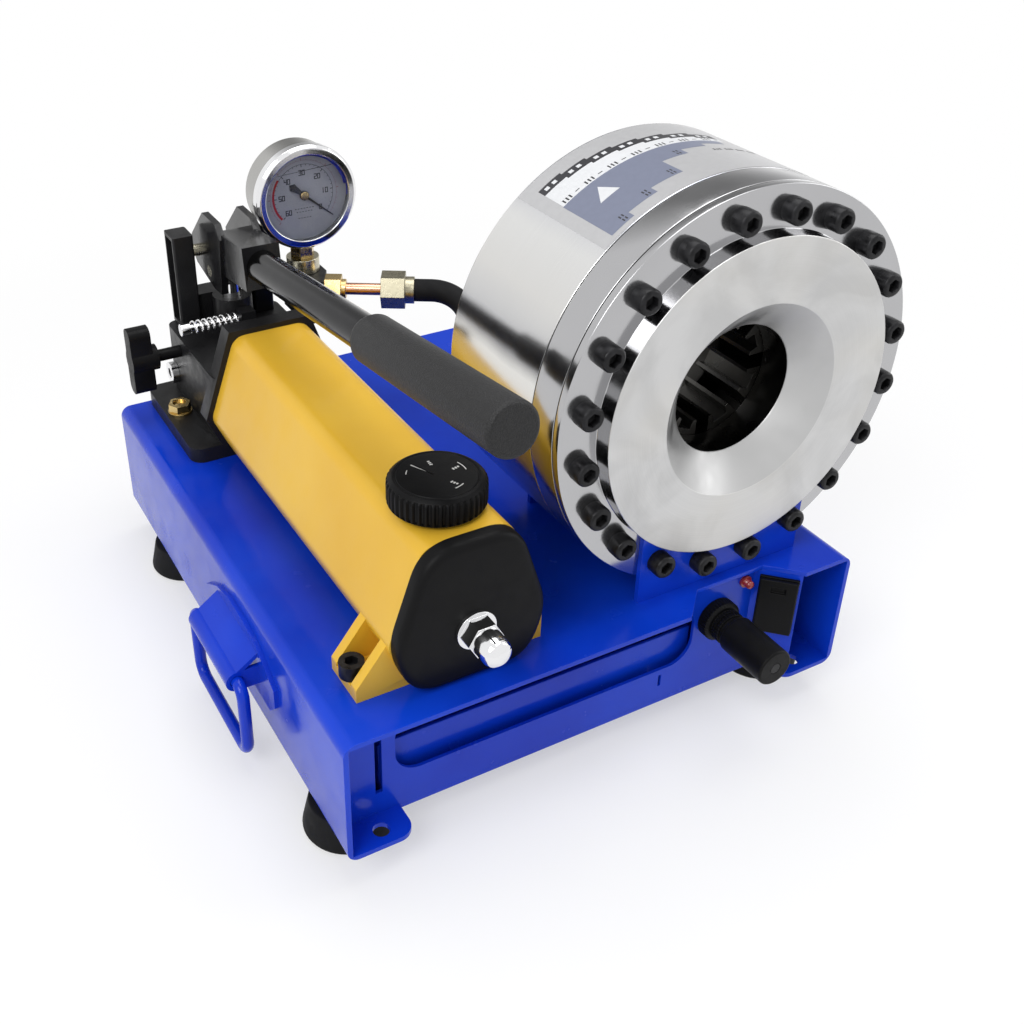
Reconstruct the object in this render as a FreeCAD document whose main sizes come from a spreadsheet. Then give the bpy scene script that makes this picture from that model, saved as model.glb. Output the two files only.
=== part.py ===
"""Bench hose crimping machine with a built-on hand pump, in millimetres, +Z up.

The origin lies on the surface that the rubber feet stand on, midway between them across the base.
-Y is the front, where the crimping mouth and the stop screw are, and +X is the right.
"""
import FreeCAD, Part
import math
import os

import Sketcher

Vector = FreeCAD.Vector
Rotation = FreeCAD.Rotation

SIZES = (
    ("fit", 0.1, "radial play of a bolt or pin in its hole"),
    ("running", 0.06, "radial play of a piston or spindle in its bore"),
    ("clearance", 0.3, "gap between parts that move past each other"),
    ("past", 1.0, "reach of a cut past the face that it starts from"),
    # layout, whose sum is the width of the base
    ("pump_side", 78.0, "pump axis from the left wall"),
    ("head_spacing", 163.0, "head axis right of the pump axis"),
    ("head_side", 79.0, "head axis from the right wall"),
    # base
    ("base_depth", 364.0, "front edge to back edge"),
    ("base_height", 78.5, "underside to top of the deck"),
    ("base_sheet", 3.0, "wall of the folded base"),
    ("base_bend", 7.0, "outer radius of the four long bends"),
    ("foot_height", 20.0, "rubber foot under the base"),
    ("foot_dia", 50.0, "rubber foot across its bottom"),
    ("foot_top_dia", 42.0, "rubber foot across its top"),
    ("foot_edge", 2.0, "rubber foot, bevel of its lower edge"),
    ("foot_inset", 19.0, "foot centre from the side wall"),
    ("foot_front", 42.0, "front foot centre from the front edge"),
    ("foot_rear", 59.0, "rear foot centre from the back edge"),
    ("tab_width", 39.0, "corner tab of the bottom, from the side wall"),
    ("tab_round", 9.0, "rounding of the corner tabs"),
    ("bench_hole_dia", 9.0, "bench bolt hole in each corner tab"),
    ("bench_hole_side", 23.0, "bench hole from the side wall"),
    ("bench_hole_end", 9.5, "bench hole from the front or back edge"),
    ("panel_setback", 20.0, "front panel behind the front edge"),
    ("panel_sheet", 2.0, "front and rear panel sheet"),
    ("panel_end_gap", 1.0, "slanted end of the front panel behind the front edge"),
    ("slot_left", 37.0, "storage slot, left end from the left wall"),
    ("slot_side", 15.0, "storage slot, right end left of the stop screw"),
    ("slot_height", 40.0, "storage slot, height"),
    ("slot_drop", 53.5, "storage slot, lower edge below the deck"),
    ("slot_round", 15.0, "storage slot, corner radius"),
    ("slit_left", 25.3, "tall slit beside the slot, from the left wall"),
    ("slit_width", 4.0, "tall slit, width"),
    ("slit_height", 40.0, "tall slit, height"),
    ("slit_drop", 61.0, "tall slit, lower end below the deck"),
    ("small_slit_side", 36.5, "short slit under the slot, left of the stop screw"),
    ("small_slit_width", 2.0, "short slit, width"),
    ("small_slit_height", 8.0, "short slit, height"),
    ("small_slit_drop", 65.5, "short slit, lower end below the deck"),
    ("notch_side", 19.0, "deck notch, left end of its back edge, left of the head axis"),
    ("notch_length", 47.0, "deck notch, length of its back edge"),
    ("notch_depth", 17.0, "deck notch, depth, with ends at 45 degrees"),
    ("tray_left", 30.0, "storage tray from the left wall"),
    ("tray_width", 64.0, "storage tray, front to back"),
    ("tray_height", 41.0, "storage tray, height of its walls"),
    ("tray_gap", 4.0, "storage tray from the front panel and from the stop screw"),
    ("tray_sheet", 2.0, "storage tray, sheet"),
    # crimping head
    ("drum_dia", 223.2, "drum and front cap, outer"),
    ("drum_lift", 1.9, "drum clear of the deck"),
    ("disc_setback", 16.0, "front disc behind the front edge of the base"),
    ("disc_dia", 178.0, "raised front disc"),
    ("disc_height", 10.2, "raised front disc, proud of the bolt flange"),
    ("cap_thick", 24.9, "bolt flange of the front cap"),
    ("cap_groove_depth", 4.7, "thin groove round the cap, behind the flange face"),
    ("cap_groove_width", 0.8, "thin groove, width and depth"),
    ("joint_chamfer", 0.8, "chamfers of the joint between cap and drum"),
    ("mouth_dia", 108.6, "conical mouth at the disc face"),
    ("mouth_depth", 16.1, "conical mouth, depth"),
    ("throat_dia", 72.6, "throat behind the conical mouth"),
    ("drum_length", 80.6, "drum behind the cap"),
    ("drum_bore_dia", 170.0, "bore for the ring piston"),
    ("drum_end", 12.0, "rear wall of the drum"),
    ("rear_bore_dia", 76.0, "bore through the rear wall and the guide sleeve"),
    ("sleeve_dia", 113.4, "guide sleeve inside the drum, outer"),
    ("sleeve_length", 31.7, "guide sleeve, forward from the rear wall"),
    ("piston_length", 45.9, "ring piston"),
    ("piston_stroke", 21.0, "travel of the ring piston"),
    ("die_travel", 10.0, "travel of each die towards the axis"),
    ("die_length", 36.0, "die, along the axis"),
    ("die_outer", 74.0, "closed die, outer radius at its front"),
    ("die_inner", 18.0, "closed die, inner radius"),
    ("die_gap", 0.8, "gap between closed dies"),
    ("die_lip", 1.0, "inner face of a die, rise to its groove"),
    ("die_groove_width", 9.0, "groove along the inner face of a die"),
    ("die_groove_depth", 6.0, "groove along the inner face, depth"),
    ("die_slot_width", 5.0, "setting slot in the front face of a die"),
    ("die_slot_depth", 4.0, "setting slot, depth"),
    ("bolt_inset", 12.7, "cap bolts in from the edge of the drum"),
    ("bolt_dia", 8.0, "cap bolt shank"),
    ("bolt_head_dia", 13.2, "cap bolt head"),
    ("bolt_head_height", 8.5, "cap bolt head, height"),
    ("bolt_socket", 6.4, "hexagon socket across flats"),
    ("bolt_socket_depth", 4.5, "hexagon socket, depth"),
    ("bolt_grip", 38.0, "cap bolt shank under the head"),
    ("mount_width", 111.0, "head mounting plates, width"),
    ("mount_height", 42.0, "head mounting plates, height"),
    ("mount_sheet", 3.2, "head mounting plates, thickness"),
    ("rear_bolt_grip", 10.0, "rear bolt shank under the head"),
    # hydraulic line
    ("port_side", 35.0, "drum port left of the head axis"),
    ("port_rise", 12.5, "drum port above the rear mounting plate"),
    ("port_hex", 22.0, "drum port fitting across flats"),
    ("port_hex_length", 11.0, "drum port fitting, hexagon"),
    ("port_neck_dia", 17.0, "drum port fitting, neck"),
    ("port_neck_length", 14.0, "drum port fitting, neck"),
    ("hose_dia", 15.0, "pressure hose, outer"),
    ("hose_nut_hex", 22.0, "hose nut across flats"),
    ("hose_nut_length", 22.0, "hose nut with its ferrule"),
    ("ferrule_dia", 18.0, "ferrule on the hose"),
    ("ferrule_length", 6.0, "ferrule in front of the hose nut"),
    ("hose_lead", 29.0, "hose, nut to the corner of its first bend"),
    ("hose_sweep", 66.0, "hose, drum port to the corner of its last bend"),
    ("hose_bend", 26.0, "hose, radius of the first bend"),
    ("hose_heel", 44.0, "hose, radius of the last bend"),
    ("line_tube_dia", 8.0, "copper tube, outer"),
    ("line_tube_length", 23.5, "copper tube, length between its nuts"),
    ("line_nut_hex", 17.0, "brass nut across flats"),
    ("line_nut_length", 14.0, "brass nut with its neck"),
    ("line_neck_dia", 13.0, "brass nut, neck"),
    ("line_neck_length", 3.0, "brass nut, neck in front of its hexagon"),
    ("line_height", 80.0, "pressure line above the deck"),
    ("line_angle", 31.0, "pressure line turned to the front, degrees"),
    # gauge
    ("gauge_side", 49.2, "gauge right of the pump axis"),
    ("gauge_back", 331.5, "gauge stem from the front edge of the base"),
    ("gauge_height", 143.5, "middle of the dial above the deck"),
    ("block_bottom", 60.0, "outlet block, underside above the deck"),
    ("block_height", 29.0, "outlet block, height"),
    ("block_width", 23.4, "outlet block, out from the pump head"),
    ("block_length", 38.0, "outlet block, front to back"),
    ("block_margin", 2.0, "outlet block behind the adapter"),
    ("block_face", 19.0, "outlet block, width of the slanting face for the pressure line"),
    ("adapter_dia", 22.0, "round adapter under the gauge"),
    ("adapter_height", 10.0, "round adapter, height"),
    ("gauge_stem_hex", 14.0, "gauge stem across flats"),
    ("gauge_case_dia", 64.0, "gauge case, outer"),
    ("gauge_case_depth", 27.0, "gauge case, depth"),
    ("gauge_wall", 2.0, "gauge case, wall and bevel of its back edge"),
    ("bezel_dia", 69.0, "bezel ring, outer"),
    ("bezel_depth", 8.0, "bezel ring, depth"),
    ("bezel_lip", 2.0, "bezel ring, lip in front of the case"),
    ("bezel_window_dia", 57.0, "bezel ring, opening"),
    ("dial_sheet", 1.0, "dial plate and window, thickness"),
    ("needle_length", 25.5, "needle, from the hub to the tip"),
    ("needle_tail", 12.5, "needle, from the hub to the end of its tail"),
    ("needle_tail_width", 5.0, "needle, tail, width"),
    ("needle_tip", 0.6, "needle, width at the tip"),
    ("needle_angle", 40.0, "needle below the level line on the right, degrees"),
    ("needle_width", 1.6, "needle, width"),
    ("needle_sheet", 0.8, "needle, thickness"),
    ("needle_hub_dia", 6.0, "needle hub"),
    ("needle_hub", 1.0, "needle hub in front of the needle"),
    # pump
    ("tank_front", 22.0, "reservoir, front end from the front edge of the base"),
    ("tank_length", 247.0, "reservoir, length"),
    ("tank_lift", 3.0, "reservoir clear of the deck"),
    ("tank_top", 83.0, "reservoir, top above the deck"),
    ("tank_waist", 30.0, "reservoir, widest line above the deck"),
    ("tank_top_half", 24.0, "reservoir, half width at the top"),
    ("tank_waist_half", 43.0, "reservoir, half width at the widest line"),
    ("tank_bottom_half", 31.0, "reservoir, half width at the bottom"),
    ("tank_wall", 4.0, "reservoir, wall"),
    ("tank_round", 10.0, "reservoir, rounding of the long edges"),
    ("ear_left", 59.0, "reservoir foot, reach left of the pump axis"),
    ("ear_right", 47.0, "reservoir foot, reach right of the pump axis"),
    ("ear_plate", 6.0, "reservoir foot, plate thickness"),
    ("ear_length", 29.0, "reservoir foot, front to back"),
    ("ear_gusset", 6.0, "reservoir foot, gusset thickness"),
    ("ear_end", 16.0, "reservoir foot, height of its right end"),
    ("ear_step", 2.0, "reservoir foot, gusset above the plate at the left end"),
    ("ear_tuck", 4.0, "reservoir foot, gusset above and inside the widest line"),
    ("ear_setback", 25.0, "reservoir foot from the front edge of the base"),
    ("ear_bolt_side", 54.5, "reservoir bolt left of the pump axis"),
    ("cap_overhang", 1.5, "end cap proud of the reservoir all round"),
    ("end_cap_length", 9.0, "end cap in front of the reservoir"),
    ("end_cap_edge", 4.0, "end cap, bevel of its front edge"),
    ("tie_nut_height", 33.0, "nut on the end cap above the deck"),
    ("tie_washer_dia", 22.0, "washer under the nut"),
    ("tie_washer", 2.5, "washer thickness"),
    ("tie_nut_hex", 17.0, "cap nut across flats"),
    ("tie_nut_length", 9.0, "cap nut, hexagon"),
    ("tie_dome_dia", 16.0, "cap nut, dome"),
    ("tie_dome_length", 9.0, "cap nut, round part up to the dome"),
    ("tie_rod_dia", 8.0, "rod through the reservoir"),
    ("tie_rod_in", 9.0, "rod inside the pump head"),
    ("filler_back", 52.0, "filler cap from the front edge of the base"),
    ("filler_dia", 50.0, "filler cap, outer"),
    ("filler_height", 16.0, "filler cap, height"),
    ("filler_lift", 0.6, "filler cap clear of the reservoir"),
    ("filler_edge", 3.0, "filler cap, bevel of its top edge"),
    ("filler_foot", 2.0, "filler cap, bevel of its lower edge"),
    ("filler_neck_length", 8.0, "neck of the filler cap"),
    ("filler_neck_dia", 26.0, "neck of the filler cap in the reservoir"),
    ("filler_rib_dia", 4.0, "ribs round the filler cap"),
    ("filler_rib_count", 24.0, "number of ribs"),
    ("flange_half", 57.5, "pump head flange, half width"),
    ("flange_thick", 10.0, "pump head flange, thickness"),
    ("flange_back", 366.0, "pump head flange, back end from the front edge"),
    ("flange_bolt_side", 48.0, "flange bolts from the pump axis"),
    ("flange_bolt_back", 322.0, "flange bolts from the front edge"),
    ("flange_bolt_hex", 13.0, "flange bolt across flats"),
    ("flange_bolt_height", 7.0, "flange bolt, head with its washer face"),
    ("flange_bolt_dimple", 1.5, "flange bolt, dimple in the head, depth"),
    ("flange_bolt_washer_dia", 16.0, "flange bolt, washer face"),
    ("flange_bolt_washer", 1.6, "flange bolt, washer face, thickness"),
    ("plate_thick", 12.0, "front plate of the pump head"),
    ("plate_margin", 3.5, "front plate of the pump head outside the reservoir"),
    ("head_half", 39.0, "pump head body, half width"),
    ("head_top", 56.0, "pump head body, top above the deck"),
    ("head_step", 2.0, "pump head body in front of the flange's back end"),
    ("slope_run", 22.0, "pump head, sloping web behind the front plate"),
    ("plunger_back", 337.0, "plunger axis from the front edge of the base"),
    ("plunger_dia", 14.0, "plunger"),
    ("plunger_in", 26.0, "plunger inside the pump head"),
    ("plunger_floor", 7.0, "plunger bore, floor above the deck"),
    ("plunger_eye", 4.5, "plunger head, metal round its slot"),
    ("plunger_slot_play", 3.0, "plunger head, extra length of its slot"),
    ("gland_dia", 26.0, "plunger gland"),
    ("gland_top", 80.0, "plunger gland, top above the deck"),
    ("pivot_back", 357.0, "lever pivot from the front edge of the base"),
    ("pivot_height", 106.0, "lever pivot above the deck"),
    ("link_foot_height", 67.0, "lower link pin above the deck"),
    ("link_inner", 19.0, "links, inner faces from the pump axis"),
    ("link_width", 14.0, "links, across"),
    ("link_depth", 18.0, "links, front to back"),
    ("link_sheet", 2.5, "links, wall"),
    ("link_margin", 14.0, "links, above the upper pin"),
    ("link_lug_rise", 10.0, "lug for the lower link pin, above and behind the pin"),
    ("link_lug_front", 6.0, "lug for the lower link pin, in front of the pin"),
    ("link_round", 1.5, "links, rounding of their long edges"),
    ("pin_dia", 8.0, "pivot pins"),
    ("pin_end", 3.0, "pivot pins beyond the web of a link"),
    ("pin_head_dia", 11.0, "pivot pins, heads"),
    ("pin_head", 2.0, "pivot pins, heads, thickness"),
    ("arm", 20.0, "plunger pin in front of the pivot"),
    ("arm_drop", 7.5, "plunger pin below the pivot"),
    ("cheek", 4.5, "lever cheeks, thickness"),
    ("cheek_inner", 9.5, "lever cheeks, inner faces from the pump axis"),
    ("cheek_boss", 10.0, "lever cheeks, behind and below the pivot"),
    ("cheek_bevel", 6.0, "lever cheeks, bevel below the pivot"),
    ("cheek_under", 9.0, "lever cheeks, below the plunger pin"),
    ("cheek_front", 27.0, "lever cheeks, in front of the plunger pin"),
    ("cheek_step", 5.0, "lever cheeks, lean of the front edge"),
    ("cheek_rise", 31.0, "lever cheeks, top above the pivot"),
    ("cheek_shoulder", 8.0, "lever cheeks, bevel of the top front corner"),
    ("cheek_tie_depth", 8.0, "tie between the cheeks, front to back"),
    ("cheek_tie_height", 16.0, "tie between the cheeks, height"),
    ("socket_width", 24.0, "handle socket, outer width"),
    ("socket_height", 27.0, "handle socket, outer height"),
    ("socket_front", 274.0, "handle socket, front end from the front edge"),
    ("socket_floor", 6.0, "handle socket, solid end behind the tube"),
    ("handle_angle", 7.3, "handle rising to the front, degrees"),
    ("handle_over", 6.0, "handle axis above the pivot"),
    ("handle_dia", 20.0, "handle tube, outer"),
    ("handle_wall", 2.0, "handle tube, wall"),
    ("handle_in", 42.0, "handle tube inside its socket"),
    ("handle_out", 287.0, "handle tube in front of its socket"),
    ("grip_dia", 27.0, "foam grip, outer"),
    ("grip_length", 140.0, "foam grip"),
    ("grip_end", 5.0, "foam grip, closed end"),
    ("grip_edge", 1.5, "foam grip, bevel of its closed end"),
    ("grip_lip", 1.5, "foam grip, wall at its open end"),
    ("grip_taper", 5.0, "foam grip, taper at its open end"),
    ("lock_back", 319.0, "spring rod from the front edge of the base"),
    ("lock_height", 70.0, "spring rod above the deck"),
    ("lock_dia", 5.0, "spring rod"),
    ("lock_knob_dia", 8.2, "spring rod, knob at its left end"),
    ("lock_knob_length", 6.0, "spring rod, knob, length"),
    ("lock_left", 42.5, "spring rod, left end from the pump axis"),
    ("lock_right", 12.0, "spring rod, right end from the pump axis"),
    ("spring_dia", 9.6, "coil spring, outer"),
    ("spring_wire", 1.3, "coil spring, wire"),
    ("spring_pitch", 3.9, "coil spring, pitch"),
    ("valve_back", 338.0, "release valve from the front edge of the base"),
    ("valve_height", 46.0, "release valve above the deck"),
    ("valve_shaft_dia", 8.0, "release valve shaft"),
    ("valve_shaft_length", 20.0, "release valve shaft outside the pump head"),
    ("valve_shaft_in", 16.5, "release valve shaft inside the pump head"),
    ("valve_grip_dia", 17.0, "release knob, hub"),
    ("valve_wing_length", 46.0, "release knob, across its wings"),
    ("valve_wing_width", 13.0, "release knob, width of a wing"),
    ("valve_wing_thick", 14.0, "release knob, thickness"),
    ("valve_wing_round", 5.2, "release knob, rounding of its wings"),
    ("valve_hub_length", 4.0, "release knob, hub behind its wings"),
    ("plug_back", 352.0, "plug from the front edge of the base"),
    ("plug_height", 24.0, "plug above the deck"),
    ("plug_dia", 15.0, "plug, head"),
    ("plug_head", 5.0, "plug, head thickness"),
    ("plug_shank_dia", 11.0, "plug, shank"),
    ("plug_shank_length", 8.0, "plug, shank"),
    # stop screw and indicator
    ("screw_height", 28.0, "stop screw below the deck"),
    ("screw_nut_dia", 25.0, "stop screw, ring nut"),
    ("screw_nut_length", 8.0, "stop screw, ring nut"),
    ("screw_nut_edge", 2.0, "stop screw, ring nut, bevel"),
    ("barrel_dia", 17.0, "stop screw, barrel"),
    ("barrel_front", 11.0, "stop screw, barrel in front of the base edge"),
    ("barrel_back", 38.0, "stop screw, barrel behind the panel"),
    ("barrel_collar_dia", 20.0, "stop screw, ribbed collar"),
    ("barrel_collar_length", 6.0, "stop screw, ribbed collar"),
    ("thimble_dia", 22.0, "stop screw, thimble"),
    ("thimble_length", 33.0, "stop screw, thimble"),
    ("thimble_end", 30.5, "stop screw, thimble end in front of the base edge"),
    ("thimble_cap", 4.0, "stop screw, closed end of the thimble"),
    ("thimble_edge", 0.8, "stop screw, bevel of the thimble"),
    ("spindle_dia", 6.5, "stop screw, spindle"),
    ("spindle_length", 96.0, "stop screw, spindle"),
    ("lamp_side", 18.5, "indicator lamp right of the stop screw"),
    ("lamp_drop", 9.5, "indicator lamp below the deck"),
    ("lamp_dia", 5.0, "indicator lamp, dome"),
    ("lamp_flange_dia", 7.4, "indicator lamp, holder"),
    ("lamp_flange", 1.5, "indicator lamp, holder thickness"),
    ("lamp_length", 5.0, "indicator lamp in front of its holder"),
    ("lamp_back", 8.0, "indicator lamp behind the panel"),
    ("battery_width", 22.0, "battery box, face width"),
    ("battery_height", 38.0, "battery box, face height"),
    ("battery_drop", 25.0, "battery box, middle below the deck"),
    ("battery_rim", 2.0, "battery box, rim in front of the panel"),
    ("battery_depth", 26.0, "battery box behind the panel"),
    ("battery_wall", 1.5, "battery box, wall"),
    ("battery_side", 35.2, "battery box, middle right of the stop screw"),
    ("battery_lid", 2.5, "battery drawer, lid thickness"),
    ("battery_lid_margin", 0.5, "battery drawer, lid inside the rim all round"),
    ("battery_notch", 8.0, "battery drawer, finger notch across"),
    ("battery_notch_height", 4.0, "battery drawer, finger notch, height"),
    ("battery_notch_depth", 1.5, "battery drawer, finger notch, depth"),
    ("battery_notch_drop", 9.0, "battery drawer, finger notch below the top"),
    # carrying handles
    ("bail_front", 99.0, "carrying handle, front arm from the front edge"),
    ("bail_span", 78.0, "carrying handle, between its arms"),
    ("bail_drop", 46.0, "carrying handle, hanging length"),
    ("bail_dia", 7.0, "carrying handle, rod"),
    ("bail_round", 9.0, "carrying handle, corner radius"),
    ("bail_out", 15.0, "carrying handle pivot from the wall"),
    ("bail_low", 37.0, "carrying handle pivot below the deck"),
    ("bracket_length", 62.0, "handle bracket, between its arms"),
    ("bracket_wing", 22.0, "handle bracket, wing beyond each arm"),
    ("bracket_sheet", 2.5, "handle bracket, sheet"),
    ("bracket_height", 38.0, "handle bracket, height on the wall"),
    ("bracket_top", 14.0, "handle bracket, top below the deck"),
    ("bracket_crown", 24.0, "handle bracket, level part of its top"),
    ("bracket_shoulder", 5.0, "handle bracket, fall of its top at the arms"),
    ("bracket_wing_fall", 18.0, "handle bracket, fall of its top at the wing ends"),
    ("bracket_corner", 8.0, "handle bracket, bevel of its lower corners"),
    ("hood_drop", 6.0, "handle bracket, hood below its top"),
    ("hood_thick", 3.2, "handle bracket, hood measured upright"),
    ("sleeve_wall", 2.5, "handle bracket, wall of the rolled sleeve"),
)

DIE_COUNT = 8
BOLT_COUNT = 20
MOUNT_BOLTS = 4
WIRE_SIDES = 6
# rounded end of a rod: distance from the axis and rise, as parts of the rod's radius
DOME = ((1.0, 0.0), (0.86, 0.35), (0.5, 0.6), (0.0, 0.7))
# how close a picked edge lies to its line
NEAR = 0.01

doc = FreeCAD.newDocument("hose_crimper")
sheet = doc.addObject("Spreadsheet::Sheet", "dim")


class Size:
    """A length with its number and the sheet expression that it follows."""

    def __init__(self, number, text):
        self.number = number
        self.text = text

    def __float__(self):
        return self.number

    def __add__(self, other):
        return joined(self, other, "+", self.number + float(other))

    def __radd__(self, other):
        return joined(other, self, "+", float(other) + self.number)

    def __sub__(self, other):
        return joined(self, other, "-", self.number - float(other))

    def __rsub__(self, other):
        return joined(other, self, "-", float(other) - self.number)

    def __mul__(self, other):
        return joined(self, other, "*", self.number * float(other))

    def __rmul__(self, other):
        return joined(other, self, "*", float(other) * self.number)

    def __truediv__(self, other):
        return joined(self, other, "/", self.number / float(other))

    def __neg__(self):
        return joined(0, self, "-", -self.number)


def text_of(value):
    """The expression of a size, or a plain number in brackets."""
    return value.text if isinstance(value, Size) else "(%r)" % float(value)


def joined(left, right, sign, number):
    return Size(number, "(%s %s %s)" % (text_of(left), sign, text_of(right)))


class Sizes:
    """The cells of the sheet as attributes."""

    def __init__(self):
        for row, (alias, number, note) in enumerate(SIZES, start=1):
            sheet.set("A%d" % row, alias)
            sheet.set("B%d" % row, str(number))
            sheet.setAlias("B%d" % row, alias)
            sheet.set("C%d" % row, note)
            setattr(self, alias, Size(number, "dim." + alias))


v = Sizes()
doc.recompute()
nodes = []

# directions of the local axes of a profile
PLAIN = Rotation()
FACING_FRONT = Rotation(Vector(1, 0, 0), 90)
FACING_RIGHT = Rotation(Vector(1, 1, 1), 120)
SLANT = Rotation(Vector(0, 0, 1), -45)
UP = (0, 0, 1)
BACK = (0, 1, 0)
FORTH = (0, -1, 0)
RIGHT = (1, 0, 0)
LEFT = (-1, 0, 0)

# main lines of the machine
base_width = v.pump_side + v.head_spacing + v.head_side
left = -base_width / 2
front = -v.base_depth / 2
back = v.base_depth / 2
deck = v.foot_height + v.base_height
pump_x = left + v.pump_side
head_x = pump_x + v.head_spacing
head_z = deck + v.drum_lift + v.drum_dia / 2
disc_y = front + v.disc_setback
flange_y = disc_y + v.disc_height
joint_y = flange_y + v.cap_thick
drum_back_y = joint_y + v.drum_length


def bind(obj, **sizes):
    """Set properties and tie those that are sizes to the sheet."""
    for name, value in sizes.items():
        setattr(obj, name, float(value))
        if isinstance(value, Size):
            obj.setExpression(name, value.text)


def place(obj, at, rotation=PLAIN):
    """Place an object, with each coordinate that is a size tied to the sheet."""
    obj.Placement = FreeCAD.Placement(Vector(*[float(value) for value in at]), rotation)
    for axis, value in zip("xyz", at):
        if isinstance(value, Size):
            obj.setExpression(".Placement.Base." + axis, value.text)
    return obj


def along(axis):
    """The rotation that turns +Z to an axis."""
    return Rotation(Vector(0, 0, 1), Vector(*axis))


def cylinder(name, radius, height, at, axis=UP):
    obj = doc.addObject("Part::Cylinder", name)
    bind(obj, Radius=radius, Height=height)
    return place(obj, at, along(axis))


def cone(name, radius, end_radius, height, at, axis=UP):
    obj = doc.addObject("Part::Cone", name)
    bind(obj, Radius1=radius, Radius2=end_radius, Height=height)
    return place(obj, at, along(axis))


def box(name, width, depth, height, at, rotation=PLAIN):
    obj = doc.addObject("Part::Box", name)
    bind(obj, Length=width, Width=depth, Height=height)
    return place(obj, at, rotation)


def hexagon(name, across_flats, height, at, axis=UP):
    obj = doc.addObject("Part::Prism", name)
    bind(obj, Circumradius=across_flats / math.sqrt(3.0), Height=height)
    return place(obj, at, along(axis))


def fuse(name, parts):
    obj = doc.addObject("Part::MultiFuse", name)
    obj.Shapes = parts
    obj.Refine = True
    return obj


def cut(name, base, tools):
    """Base without its tools."""
    obj = doc.addObject("Part::Cut", name)
    obj.Base = base
    obj.Tool = tools[0] if len(tools) == 1 else fuse(name + "_tools", tools)
    obj.Refine = True
    return obj


def common(name, base, tool):
    obj = doc.addObject("Part::Common", name)
    obj.Base = base
    obj.Tool = tool
    return obj


def parallel_to(axis):
    """A test that picks the edges along an axis."""
    direction = Vector(*axis)
    return lambda p, d: abs(d.dot(direction)) > 0.99 * d.Length


def edge_names(shape, wanted):
    """Names of the edges that a test on the edge's middle and direction picks."""
    names = []
    for number, edge in enumerate(shape.Edges, start=1):
        middle = edge.valueAt((edge.FirstParameter + edge.LastParameter) / 2)
        first, last = edge.Vertexes[0].Point, edge.Vertexes[-1].Point
        if wanted(middle, last - first):
            names.append("Edge%d" % number)
    return names


def rounded(name, base, wanted, radius):
    """Base with the picked edges rounded."""
    doc.recompute()
    obj = doc.addObject("Part::Fillet", name)
    obj.Base = base
    numbers = [int(edge[4:]) for edge in edge_names(base.Shape, wanted)]
    obj.Edges = [(number, float(radius), float(radius)) for number in numbers]
    return obj


def pin_point(sketch, geometry, point, at):
    """Fix one point of a sketch at coordinates that follow the sheet."""
    for value, kind, axis in zip(at, ("DistanceX", "DistanceY"), (-2, -1)):
        number = float(value)
        if number == 0:
            sketch.addConstraint(Sketcher.Constraint("PointOnObject", geometry, point, axis))
            continue
        ends = (-1, 1, geometry, point) if number > 0 else (geometry, point, -1, 1)
        index = sketch.addConstraint(Sketcher.Constraint(kind, *ends, abs(number)))
        if isinstance(value, Size):
            text = value.text if number > 0 else (-value).text
            sketch.setExpression("Constraints[%d]" % index, text)


def draw_polygon(sketch, points):
    first = len(sketch.Geometry)
    count = len(points)
    flat = [Vector(float(x), float(y), 0) for x, y in points]
    for index in range(count):
        sketch.addGeometry(Part.LineSegment(flat[index], flat[(index + 1) % count]))
    for index in range(count):
        following = first + (index + 1) % count
        sketch.addConstraint(Sketcher.Constraint("Coincident", first + index, 2, following, 1))
        pin_point(sketch, first + index, 1, points[index])


def profile(name, at, rotation, polygons):
    """A body with one closed sketch on its XY plane."""
    body = doc.addObject("PartDesign::Body", name)
    place(body, at, rotation)
    sketch = body.newObject("Sketcher::SketchObject", name + "_sketch")
    plane = [part for part in body.Origin.OriginFeatures if part.Role == "XY_Plane"]
    sketch.AttachmentSupport = [(plane[0], "")]
    sketch.MapMode = "FlatFace"
    for points in polygons:
        draw_polygon(sketch, points)
    return body, sketch


def padded(name, length, at, rotation, polygons):
    """A body padded from its sketch, along the local +Z."""
    body, sketch = profile(name, at, rotation, polygons)
    pad = body.newObject("PartDesign::Pad", name + "_pad")
    pad.Profile = sketch
    bind(pad, Length=length)
    return body


def turned(name, at, rotation, points):
    """A body turned about its local Y axis from points (radius, place along the axis)."""
    body, sketch = profile(name, at, rotation, [points])
    revolution = body.newObject("PartDesign::Revolution", name + "_turn")
    revolution.Profile = sketch
    revolution.ReferenceAxis = (sketch, ["V_Axis"])
    revolution.Angle = 360.0
    return body


def edge_feature(body, kind, wanted, sizes):
    """A fillet or chamfer on the picked edges of the last feature of a body."""
    doc.recompute()
    base = body.Tip
    feature = body.newObject("PartDesign::" + kind, body.Name + "_" + kind.lower())
    feature.Base = (base, edge_names(base.Shape, wanted))
    bind(feature, **sizes)
    return body


def copies(name, source, placements):
    """The source's shape repeated at several placements, as one object."""
    doc.recompute()
    solids = []
    for placement in placements:
        solid = source.Shape.copy()
        solid.Placement = placement.multiply(solid.Placement)
        solids.append(solid)
    obj = doc.addObject("Part::Feature", name)
    obj.Shape = solids[0] if len(solids) == 1 else Part.makeCompound(solids)
    return obj


def gathered(name, sources):
    """The solids of several objects as one object."""
    doc.recompute()
    obj = doc.addObject("Part::Feature", name)
    obj.Shape = Part.makeCompound([solid for source in sources for solid in source.Shape.Solids])
    return obj


def point(at):
    return Vector(*[float(value) for value in at])


def shift(x=0, y=0, z=0):
    return FreeCAD.Placement(point((x, y, z)), Rotation())


def spun(centre, axis, angle):
    """The placement that turns things about an axis through a point."""
    return FreeCAD.Placement(Vector(), Rotation(axis, angle), centre)


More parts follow.
